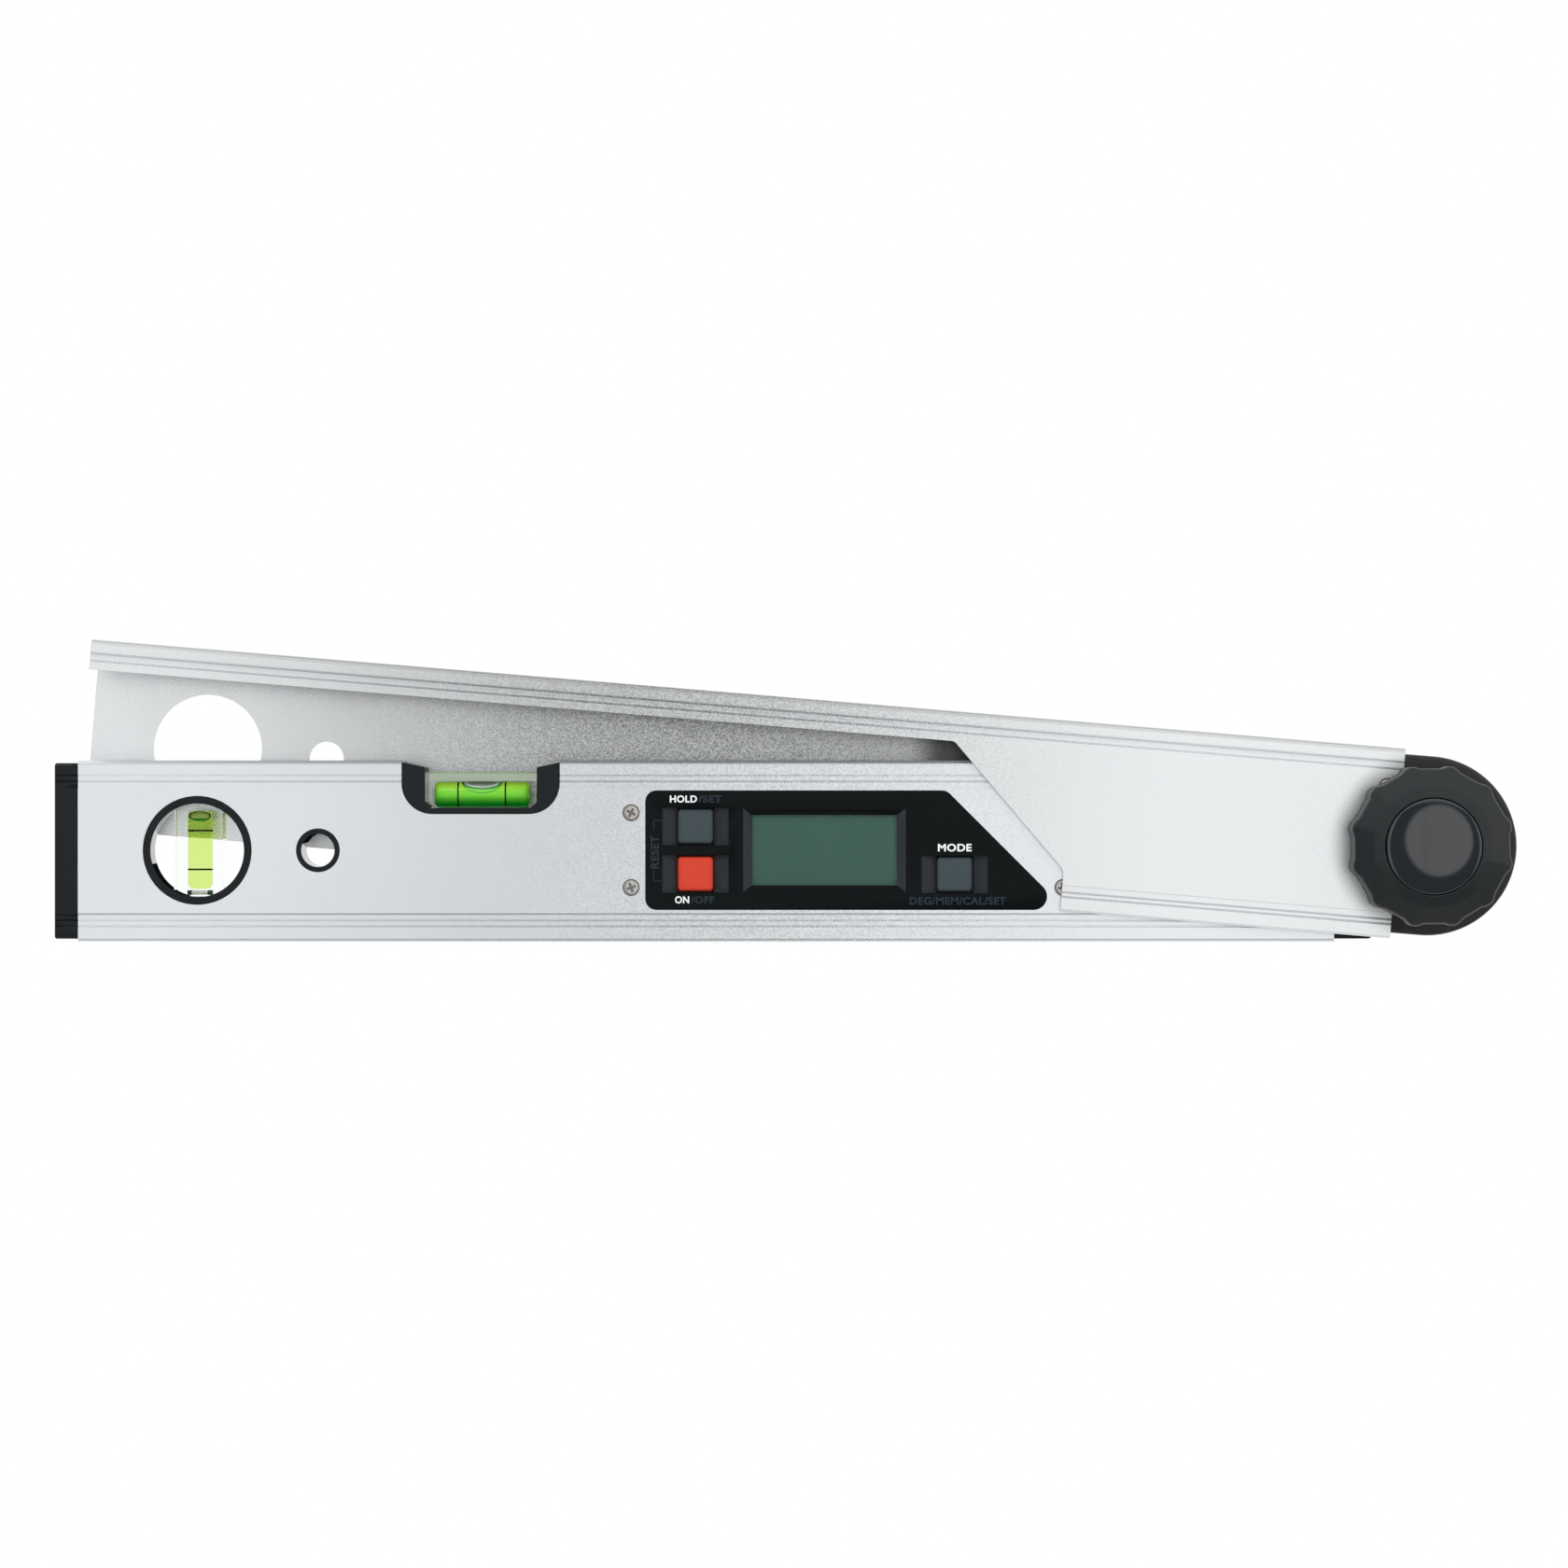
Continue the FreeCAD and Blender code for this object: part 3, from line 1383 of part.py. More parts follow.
def lock_knob():
    """A twelve-sided shell with a lobe at each corner, a hub for its insert, and ribs below."""
    body = new_body("lock_knob")
    flat_radius = sizes.knob_radius - sizes.knob_lobe_height
    inner_wall = flat_radius - sizes.knob_wall
    hub_back = washer_front - sizes.fit_gap
    height = knob_back - crown_front

    half_pitch = math.radians(180 / SIZES["knob_lobes"])
    corner = flat_radius / math.cos(half_pitch)
    turns = [half_pitch * (2 * step + 1) for step in range(SIZES["knob_lobes"])]
    core = sketch(body, "XZ_Plane", -knob_back)
    outline(core, [(corner * math.cos(turn), corner * math.sin(turn)) for turn in turns])
    pad(body, core, height)
    lobe = sketch(body, "XZ_Plane", -knob_back)
    distance = sizes.knob_radius - sizes.knob_lobe_radius
    x, z = -distance * math.cos(half_pitch), distance * math.sin(half_pitch)
    circle(lobe, sizes.knob_lobe_radius, x, z)
    first_lobe = pad(body, lobe, height)
    repeat_round(body, first_lobe, sizes.knob_lobes)
    round_edges(body, edge_names(edges_through(body)), sizes.knob_lobe_fillet)

    beyond = sizes.knob_radius + 1
    bevel = sketch(body, "XY_Plane")
    slope = sizes.knob_bevel_height / (sizes.knob_radius - sizes.knob_bevel_radius)
    outline(bevel, [
        (mouth_radius, crown_front),
        (sizes.knob_bevel_radius, bevel_front),
        (beyond, wall_front + slope),
        (beyond, crown_front - 1),
        (mouth_radius, crown_front - 1),
    ])
    revolve(body, bevel, "Groove")

    mouth = sketch(body, "XZ_Plane", -crown_front)
    circle(mouth, mouth_radius)
    pocket(body, mouth, knob_floor_front - crown_front)
    bore = sketch(body, "XZ_Plane", -crown_front)
    circle(bore, insert_radius)
    pocket(body, bore, height)
    hollow = sketch(body, "XZ_Plane", -knob_back)
    circle(hollow, inner_wall)
    circle(hollow, hub_radius)
    pocket(body, hollow, knob_back - knob_floor_back, Reversed=True)
    relief = sketch(body, "XZ_Plane", -knob_back)
    circle(relief, inner_wall)
    pocket(body, relief, knob_back - hub_back, Reversed=True)

    rib = sketch(body, "XZ_Plane", -knob_floor_back)
    half_rib = sizes.knob_rib / 2
    rectangle(rib, (hub_radius - half_rib, inner_wall + half_rib), (-half_rib, half_rib))
    ribs = pad(body, rib, hub_back - knob_floor_back - sizes.knob_rib, Reversed=True)
    repeat_round(body, ribs, sizes.knob_lobes / 2)
    node(place(body, pivot_x, 0, pivot_z, sizes.knob_turn), "lock_knob")


def knob_insert():
    span = (knob_floor_front, washer_front - sizes.fit_gap)
    insert = tube(insert_radius, sizes.bolt_radius + sizes.fit_gap, "y", span)
    at_pivot(insert, "knob_insert")


def badge_cap():
    """A glossy domed cap over the bolt's end, inside the knob's mouth."""
    crown = sizes.badge_crown
    front = badge_rim - crown
    curve = (sizes.badge_radius * sizes.badge_radius + crown * crown) / (crown * 2)
    ball = doc.addObject("Part::Sphere", "ball")
    bind(ball, "Radius", curve)
    place(ball, y=front + curve)
    disc = rod(sizes.badge_radius, "y", (front, badge_back))
    stem = rod(insert_radius - sizes.badge_gap, "y", (front, socket_back))
    bore = rod(sizes.bolt_radius, "y", (badge_back, socket_back))
    at_pivot(common(cut(fuse(disc, stem), bore), ball), "badge_cap")


# The whole tool ----------------------------------------------------------------------------------

base_arm_extrusion()
base_end_cap()
hinge_housing()
hinge_bush()
friction_washers()
encoder_board()
encoder_ribbon()
level_vial()
plumb_vial()
hang_hole_bush()
display_bezel()
button_caps()
screen()
circuit_board()
key_switches()
module_frame()
batteries()
battery_door()
base_screws()
swing_arm_channel()
hinge_cap(-1, "front_hinge_cap")
hinge_cap(1, "rear_hinge_cap")
cap_screws()
encoder_disc()
pivot_bolt()
rear_bolt_cover()
thrust_washer()
lock_knob()
knob_insert()
badge_cap()
doc.recompute()

for thing in doc.Objects:
    if "Invalid" in thing.State or "Error" in thing.State:
        raise RuntimeError(thing.Name + " failed to build: " + str(thing.State))
for thing in nodes:
    if thing.Shape.isNull() or not thing.Shape.isValid() or not thing.Shape.Solids:
        raise RuntimeError(thing.Label + " has no valid solid")

os.makedirs("parts", exist_ok=True)
for thing in nodes:
    thing.Shape.exportStep("parts/" + thing.Label + ".step")
print(str(len(nodes)) + " parts written")
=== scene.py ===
# Angle finder with arms: finishes, fine detail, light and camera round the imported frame.
import json
import math

import bpy
from mathutils import Matrix, Vector

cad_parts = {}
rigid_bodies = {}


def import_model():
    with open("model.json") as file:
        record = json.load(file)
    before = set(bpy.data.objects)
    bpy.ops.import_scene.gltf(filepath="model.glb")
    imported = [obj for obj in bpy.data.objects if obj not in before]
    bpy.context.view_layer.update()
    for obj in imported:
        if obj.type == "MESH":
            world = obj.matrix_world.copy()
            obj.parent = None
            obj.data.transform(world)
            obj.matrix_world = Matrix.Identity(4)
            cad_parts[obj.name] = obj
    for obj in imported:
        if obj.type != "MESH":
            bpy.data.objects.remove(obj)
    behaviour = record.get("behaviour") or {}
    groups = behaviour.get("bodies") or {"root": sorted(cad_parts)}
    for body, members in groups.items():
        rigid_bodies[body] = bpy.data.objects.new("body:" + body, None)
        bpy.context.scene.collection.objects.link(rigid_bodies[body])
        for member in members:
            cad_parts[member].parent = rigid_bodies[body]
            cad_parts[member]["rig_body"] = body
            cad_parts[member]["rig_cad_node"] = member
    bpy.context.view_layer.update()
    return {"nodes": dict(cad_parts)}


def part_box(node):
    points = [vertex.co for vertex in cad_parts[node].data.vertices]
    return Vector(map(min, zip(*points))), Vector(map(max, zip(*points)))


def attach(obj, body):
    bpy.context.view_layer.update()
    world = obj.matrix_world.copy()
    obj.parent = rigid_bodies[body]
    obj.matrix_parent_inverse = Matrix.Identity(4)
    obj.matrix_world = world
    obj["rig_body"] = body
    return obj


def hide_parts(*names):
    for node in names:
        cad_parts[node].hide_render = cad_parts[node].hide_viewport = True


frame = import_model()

nodes = frame["nodes"]
print("frame loaded with", len(nodes), "pieces")

mm = 0.001
weldGap = 1e-6  # points closer than this, in metres, are one
tiny = 1e-7  # and places closer than this are level with each other
boltLow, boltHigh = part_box("pivot_bolt")
pivot = Vector(((boltLow.x + boltHigh.x) / 2, 0, (boltLow.z + boltHigh.z) / 2))


# small tools for shaping
def boxOf(name):
    return [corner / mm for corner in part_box(name)]  # lowest and highest corner in mm


def deselectAll():
    if bpy.context.object and bpy.context.object.mode != "OBJECT":
        bpy.ops.object.mode_set(mode="OBJECT")
    bpy.ops.object.select_all(action="DESELECT")


def makeActive(piece):
    deselectAll()
    piece.select_set(True)
    bpy.context.view_layer.objects.active = piece


def settle(piece):
    makeActive(piece)
    bpy.ops.object.transform_apply(location=True, rotation=True, scale=True)
    return piece


def applyModifier(piece, kind, **values):
    makeActive(piece)
    modifier = piece.modifiers.new(kind.lower(), kind)
    for name, value in values.items():
        setattr(modifier, name, value)
    bpy.ops.object.modifier_apply(modifier=modifier.name)


def smooth(piece, angle=32):
    makeActive(piece)
    bpy.ops.object.shade_smooth_by_angle(angle=math.radians(angle))


def mergeDoubles(gap=weldGap):
    bpy.ops.object.mode_set(mode="EDIT")
    bpy.ops.mesh.select_all(action="SELECT")
    bpy.ops.mesh.remove_doubles(threshold=gap)


def faceOutwards(piece):
    makeActive(piece)
    mergeDoubles()
    bpy.ops.mesh.normals_make_consistent(inside=False)
    bpy.ops.object.mode_set(mode="OBJECT")


def smoothStep(value, low, high):
    share = min(max((value - low) / (high - low), 0), 1)
    return share * share * (3 - 2 * share)


# turns a closed outline of (radius, depth) points in mm round the Y axis
def revolve(points, steps, name):
    deselectAll()
    bpy.ops.mesh.primitive_circle_add(vertices=len(points), radius=1, fill_type="NOTHING")
    ring = bpy.context.object
    ring.name = name
    for vertex, (radius, depth) in zip(ring.data.vertices, points):
        vertex.co = (radius * mm, depth * mm, 0)
    bpy.ops.object.mode_set(mode="EDIT")
    bpy.ops.mesh.select_all(action="SELECT")
    bpy.ops.mesh.spin(
        steps=steps, angle=2 * math.pi, center=(0, 0, 0), axis=(0, 1, 0), use_auto_merge=True
    )
    bpy.ops.object.mode_set(mode="OBJECT")
    faceOutwards(ring)
    return ring


# points from one place to the next, the last one left out
def stretch(start, end, count):
    return [
        tuple(a + (b - a) * step / count for a, b in zip(start, end)) for step in range(count)
    ]


# points round a corner of an outline, in mm
def roundCorner(before, corner, after, radius, count):
    corner, before, after = Vector(corner), Vector(before), Vector(after)
    start = corner + (before - corner).normalized() * radius
    end = corner + (after - corner).normalized() * radius
    points = []
    for step in range(count + 1):
        share = step / count
        first = start.lerp(corner, share)
        points.append(tuple(first.lerp(corner.lerp(end, share), share)))
    return points


# a rod's outline, from the middle of its low end to the middle of its high end
def rodOutline(radius, half, lowRound, highRound, count=8):
    points = [(0, -half)] + roundCorner((0, -half), (radius, -half), (radius, 0), lowRound, count)
    points += roundCorner((radius, 0), (radius, half), (0, half), highRound, count)
    return points + [(0, half)]


def joinPieces(pieces, name):
    makeActive(pieces[0])
    for piece in pieces:
        piece.select_set(True)
    if len(pieces) > 1:
        bpy.ops.object.join()
    joined = bpy.context.object
    joined.name = name
    return joined


def copyOf(piece, name):
    twin = piece.copy()
    twin.data = piece.data.copy()
    twin.name = name
    twin.parent = None
    bpy.context.scene.collection.objects.link(twin)
    return twin


# small tools for shading: a socket is linked and a plain value is set
def feed(tree, value, inlet):
    if isinstance(value, bpy.types.NodeSocket):
        tree.links.new(value, inlet)
    else:
        inlet.default_value = value


def fill(tree, node, values):
    for name, value in values.items():
        feed(tree, value, node.inputs[name])


def addNode(tree, kind, **settings):
    made = tree.nodes.new(kind)
    for name, value in settings.items():
        setattr(made, name, value)
    return made


def maths(tree, operation, first, second=0.5):
    made = addNode(tree, "ShaderNodeMath", operation=operation)
    feed(tree, first, made.inputs[0])
    feed(tree, second, made.inputs[1])
    return made.outputs[0]


def product(tree, first, second):
    return maths(tree, "MULTIPLY", first, second)


def lessFrom(tree, whole, part):
    return maths(tree, "SUBTRACT", whole, part)


def vectorMaths(tree, operation, first, second=(0, 0, 0)):
    made = addNode(tree, "ShaderNodeVectorMath", operation=operation)
    feed(tree, first, made.inputs[0])
    feed(tree, second, made.inputs["Scale" if operation == "SCALE" else 1])
    return made.outputs["Value" if operation in ("LENGTH", "DOT_PRODUCT") else "Vector"]


def ramp(tree, value, low=0.0, high=1.0, start=0.0, kind="SMOOTHSTEP"):
    made = addNode(tree, "ShaderNodeMapRange", interpolation_type=kind)
    fill(tree, made, {"Value": value, "From Min": low, "From Max": high, "To Min": start})
    return made.outputs[0]


# one at a middle value, and softly down to nought at a reach to both sides
def nearness(tree, value, middle, reach, full=1.0):
    away = maths(tree, "ABSOLUTE", lessFrom(tree, value, middle))
    return ramp(tree, lessFrom(tree, full, maths(tree, "DIVIDE", away, reach)))


def objectPlace(tree):
    place = tree.nodes.new("ShaderNodeTexCoord").outputs["Object"]
    apart = tree.nodes.new("ShaderNodeSeparateXYZ")
    feed(tree, place, apart.inputs[0])
    return place, apart.outputs


# node groups: each input's kind follows from its first value
def startGroup(name, inputs, outputs):
    group = bpy.data.node_groups.new(name, "ShaderNodeTree")
    for label, value in inputs.items():
        kind = "Float" if isinstance(value, float) else {3: "Vector", 4: "Color"}[len(value)]
        socket = group.interface.new_socket(
            label, in_out="INPUT", socket_type="NodeSocket" + kind
        )
        socket.default_value = value
    for label in outputs:
        kind = "NodeSocketColor" if label == "Color" else "NodeSocketFloat"
        group.interface.new_socket(label, in_out="OUTPUT", socket_type=kind)
    ins = group.nodes.new("NodeGroupInput")
    outs = group.nodes.new("NodeGroupOutput")
    return group, ins.outputs, outs.inputs


midGrey = (0.5, 0.5, 0.5, 1)


# fine speckle over slow clouds, for blasted metal and moulded plastic, with painted shade that
# darkens it near one place
def makeGrainGroup():
    group, ins, outs = startGroup("surfaceGrain", {
        "Base": midGrey, "Grain Size": 0.0004, "Grain Contrast": 0.1, "Cloud Size": 0.03,
        "Cloud Contrast": 0.04, "Mid Roughness": 0.4, "Roughness Spread": 0.1,
        "Painted Shade Middle": -0.022, "Painted Shade Reach": 0.17, "Painted Shade Depth": 0.0,
    }, ["Color", "Roughness", "Height"])
    place, apart = objectPlace(group)
    lifts = []
    for size, detail, rough, gain in (("Grain Size", 3.0, 0.7, 4.0), ("Cloud Size", 2.0, 0.5, 3.0)):
        noise = group.nodes.new("ShaderNodeTexNoise")
        scale = maths(group, "DIVIDE", 1.0, ins[size])
        fill(group, noise, {"Vector": place, "Scale": scale, "Detail": detail, "Roughness": rough})
        if size == "Grain Size":
            feed(group, noise.outputs["Fac"], outs["Height"])
        lifts.append(product(group, lessFrom(group, noise.outputs["Fac"], 0.5), gain))
    fineLift, cloudLift = lifts
    change = maths(group, "ADD", product(group, fineLift, ins["Grain Contrast"]),
                   product(group, cloudLift, ins["Cloud Contrast"]))
    # painted shade: darker near one place along an arm, where less light falls
    near = nearness(group, apart["X"], ins["Painted Shade Middle"], ins["Painted Shade Reach"])
    paintedMidShade = lessFrom(group, 1.0, product(group, near, ins["Painted Shade Depth"]))
    shade = product(group, maths(group, "ADD", 1.0, change), paintedMidShade)
    feed(group, vectorMaths(group, "SCALE", ins["Base"], shade), outs["Color"])
    spread = maths(group, "ADD", product(group, fineLift, 0.5), cloudLift)
    spread = product(group, spread, ins["Roughness Spread"])
    feed(group, maths(group, "ADD", ins["Mid Roughness"], spread), outs["Roughness"])
    return group


# a soft change along one axis, from one colour to the next
def makeFadeGroup():
    group, ins, outs = startGroup("heightFade", {
        "Low": (0, 0, 0, 1), "High": (1, 1, 1, 1), "From": 0.0, "To": 1.0, "Position": 0.0,
    }, ["Color"])
    mixed = addNode(group, "ShaderNodeMix", data_type="RGBA")
    share = ramp(group, ins["Position"], ins["From"], ins["To"])
    for inlet, value in ((0, share), (6, ins["Low"]), (7, ins["High"])):
        feed(group, value, mixed.inputs[inlet])
    feed(group, mixed.outputs[2], outs["Color"])
    return group


# paints a thin line of shade along an extrusion, and with a negative depth a thin painted highlight
def makePaintedLineGroup():
    group, ins, outs = startGroup("paintedShadeAndHighlightLine", {
        "Color": midGrey, "Across": (0, 0, 1), "Offset": 0.0, "Middle": 0.0,
        "Half Width": 0.0002, "Depth": 0.2,
    }, ["Color"])
    place = objectPlace(group)[0]
    height = lessFrom(group, vectorMaths(group, "DOT_PRODUCT", place, ins["Across"]), ins["Offset"])
    line = nearness(group, height, ins["Middle"], ins["Half Width"], full=1.5)
    shade = lessFrom(group, 1.0, product(group, line, ins["Depth"]))
    feed(group, vectorMaths(group, "SCALE", ins["Color"], shade), outs["Color"])
    return group


# bead-blasted speckle with painted glints, its strength painted to follow the light: strongest near
# one place along an arm, weaker on its front by a share
def makeSpeckleGroup():
    group, ins, outs = startGroup("blastSpeckleAndPaintedGlints", {
        "Color": midGrey, "Size": 0.0004, "Contrast": 0.4, "Middle": 0.0, "Reach": 0.14,
        "Front Loss": 0.0,
    }, ["Color"])
    place, apart = objectPlace(group)
    cells = group.nodes.new("ShaderNodeTexVoronoi")
    fill(group, cells, {"Vector": place, "Scale": maths(group, "DIVIDE", 1.0, ins["Size"])})
    chance = group.nodes.new("ShaderNodeSeparateColor")
    feed(group, cells.outputs["Color"], chance.inputs[0])
    lift = product(group, lessFrom(group, chance.outputs["Red"], 0.5), 2.0)
    near = nearness(group, apart["X"], ins["Middle"], ins["Reach"])
    front = maths(group, "LESS_THAN", apart["Y"], 0.0)
    kept = lessFrom(group, 1.0, product(group, front, ins["Front Loss"]))
    strength = product(group, kept, product(group, near, ins["Contrast"]))
    shade = maths(group, "ADD", 1.0, product(group, lift, strength))
    feed(group, vectorMaths(group, "SCALE", ins["Color"], shade), outs["Color"])
    return group


# the swing arm's painted shade in metres: its back wall, between two depths, is painted darker
# along its length and darkest where the front wall closes over it, and its face gets a painted
# shadow round the knob
channelShade = {
    "Inside": 0.005, "Outside": 0.0125, "Start": -0.14, "End": 0.055, "Depth": 0.30,
    "Deep Start": 0.0600, "Deep End": 0.0725, "Deep Depth": 0.82,
    "Pivot": pivot, "Ring Inner": 0.0238, "Ring Outer": 0.0305, "Ring Depth": 0.42,
}


def makeShadeGroup():
    group, ins, outs = startGroup("channelShade", {"Color": midGrey, **channelShade}, ["Color"])
    place, apart = objectPlace(group)
    # painted shade on the back wall inside the channel
    paintedWallShade = product(
        group, ramp(group, apart["X"], ins["Start"], ins["End"], kind="LINEAR"), ins["Depth"]
    )
    deep = product(
        group, ramp(group, apart["X"], ins["Deep Start"], ins["Deep End"]), ins["Deep Depth"]
    )
    paintedWallShade = maths(group, "ADD", paintedWallShade, product(group, deep, lessFrom(group, 1.0, paintedWallShade)))
    wall = product(group, maths(group, "GREATER_THAN", apart["Y"], ins["Inside"]),
                   maths(group, "LESS_THAN", apart["Y"], ins["Outside"]))
    # painted shadow of the knob on the arm's face
    offset = vectorMaths(group, "SUBTRACT", place, ins["Pivot"])
    radius = vectorMaths(group, "LENGTH", vectorMaths(group, "MULTIPLY", offset, (1, 0, 1)))
    ring = lessFrom(group, 1.0, ramp(group, radius, ins["Ring Inner"], ins["Ring Outer"]))
    front = maths(group, "LESS_THAN", apart["Y"], product(group, ins["Inside"], -1.0))
    shadow = product(group, product(group, ring, front), ins["Ring Depth"])
    shade = lessFrom(group, lessFrom(group, 1.0, product(group, paintedWallShade, wall)), shadow)
    feed(group, vectorMaths(group, "SCALE", ins["Color"], shade), outs["Color"])
    return group


grainGroup = makeGrainGroup()
fadeGroup = makeFadeGroup()
paintedLineGroup = makePaintedLineGroup()
speckleGroup = makeSpeckleGroup()
shadeGroup = makeShadeGroup()


# materials
def startMaterial(name):
    made = bpy.data.materials.new(name)
    made.use_nodes = True
    return made, made.node_tree, made.node_tree.nodes["Principled BSDF"]


def useGroup(tree, group, values):
    used = addNode(tree, "ShaderNodeGroup", node_tree=group)
    fill(tree, used, values)
    return used.outputs


def useGrain(tree, base, grainSize, grain, cloudSize, clouds, roughness, spread, paintedMidShade=0.0):
    return useGroup(tree, grainGroup, {
        "Base": base, "Grain Size": grainSize * mm, "Grain Contrast": grain,
        "Cloud Size": cloudSize * mm, "Cloud Contrast": clouds, "Mid Roughness": roughness,
        "Roughness Spread": spread, "Painted Shade Depth": paintedMidShade,
    })


def grainedMaterial(name, base, metallic=0.0, specular=0.5, grainSize=0.4, grain=0.1, clouds=0.04,
                    roughness=0.4, spread=0.1, bump=0.1, bumpDepth=0.02, paintedMidShade=0.0, speckle=(),
                    lines=(), shade=None):
    made, tree, shader = startMaterial(name)
    surface = useGrain(
        tree, (*base, 1), grainSize, grain, cloudSize=30, clouds=clouds, roughness=roughness,
        spread=spread, paintedMidShade=paintedMidShade,
    )
    color = surface["Color"]
    # speckle of the blasting, with painted glints whose strength follows the light along the arm
    for size, contrast, middle, reach, frontLoss in speckle:
        color = useGroup(tree, speckleGroup, {
            "Color": color, "Size": size * mm, "Contrast": contrast, "Middle": middle * mm,
            "Reach": reach * mm, "Front Loss": frontLoss,
        })["Color"]
    # painted shade, and painted highlight where a line's depth is negative
    for middle, halfWidth, depth in lines:
        color = useGroup(tree, paintedLineGroup, {
            "Color": color, "Across": armUp[name][0], "Offset": armUp[name][1],
            "Middle": middle * mm, "Half Width": halfWidth * mm, "Depth": depth,
        })["Color"]
    if shade:
        color = useGroup(tree, shadeGroup, {**shade, "Color": color})["Color"]
    relief = tree.nodes.new("ShaderNodeBump")
    fill(tree, relief, {
        "Strength": bump, "Distance": bumpDepth * mm, "Height": surface["Height"],
    })
    fill(tree, shader, {
        "Base Color": color, "Roughness": surface["Roughness"], "Normal": relief.outputs[0],
        "Metallic": metallic, "Specular IOR Level": specular,
    })
    return made


# painted shade lines along the ribbed bands, painted highlights where negative: height in mm, half
# width in mm, and how much darker
baseShadeAndHighlightLines = [(8.40, 0.16, 0.62), (0.57, 0.19, 0.38), (53.85, 0.15, 0.2), (50.35, 0.26, -0.19),
             (48.60, 0.26, -0.10), (6.42, 0.26, -0.15), (4.62, 0.26, -0.14)]
swingShadeAndHighlightLines = [(28.52, 0.18, 0.36), (27.95, 0.4, 0.12), (24.55, 0.3, -0.12), (24.40, 0.9, 0.08),
              (22.38, 0.3, -0.10), (21.0, 0.2, -0.06)]
# which way is up on each arm, and the height its lines are measured from
swingTilt = math.radians(4.75)
swingUp = Vector((math.sin(swingTilt), 0, math.cos(swingTilt)))
swingOffset = math.sin(swingTilt) * pivot.x + math.cos(swingTilt) * pivot.z
armUp = {"aluminium": (Vector((0, 0, 1)), 0.0), "swingAluminium": (swingUp, swingOffset)}

# grains, clouds, roughness and relief that several finishes share; sizes in mm
moulded = dict(grainSize=0.12, grain=0.08, clouds=0.05, roughness=0.45, spread=0.04, bump=0.25,
               bumpDepth=0.01)
satin = dict(grainSize=0.15, grain=0.06, clouds=0.03, roughness=0.34, spread=0.03, bump=0.12,
             bumpDepth=0.006)
keyTop = dict(specular=0.15, grainSize=0.12, grain=0.05, clouds=0.03, roughness=0.5, spread=0.03,
              bump=0.25, bumpDepth=0.01)
vialGreen = dict(specular=0.3, grainSize=0.2, grain=0.06, clouds=0.03, roughness=0.3, spread=0.02,
                 bump=0.02, bumpDepth=0.004)
gleam = dict(specular=0.4, grainSize=0.5, grain=0.04, clouds=0.05, roughness=0.15, spread=0.02,
             bump=0.02, bumpDepth=0.004)
inner = dict(grainSize=0.3, grain=0.06, clouds=0.04, roughness=0.3, spread=0.05, bump=0.2,
             bumpDepth=0.01)
ink = dict(specular=0.2, grainSize=0.08, grain=0.02, clouds=0.02, roughness=0.5, spread=0.02,
           bump=0.05, bumpDepth=0.004)
blasted = dict(clouds=0.012, spread=0.03, bump=0.4, bumpDepth=0.03)
screwSteel = dict(metallic=1.0, clouds=0.03, spread=0.06, bump=0.9, bumpDepth=0.04)
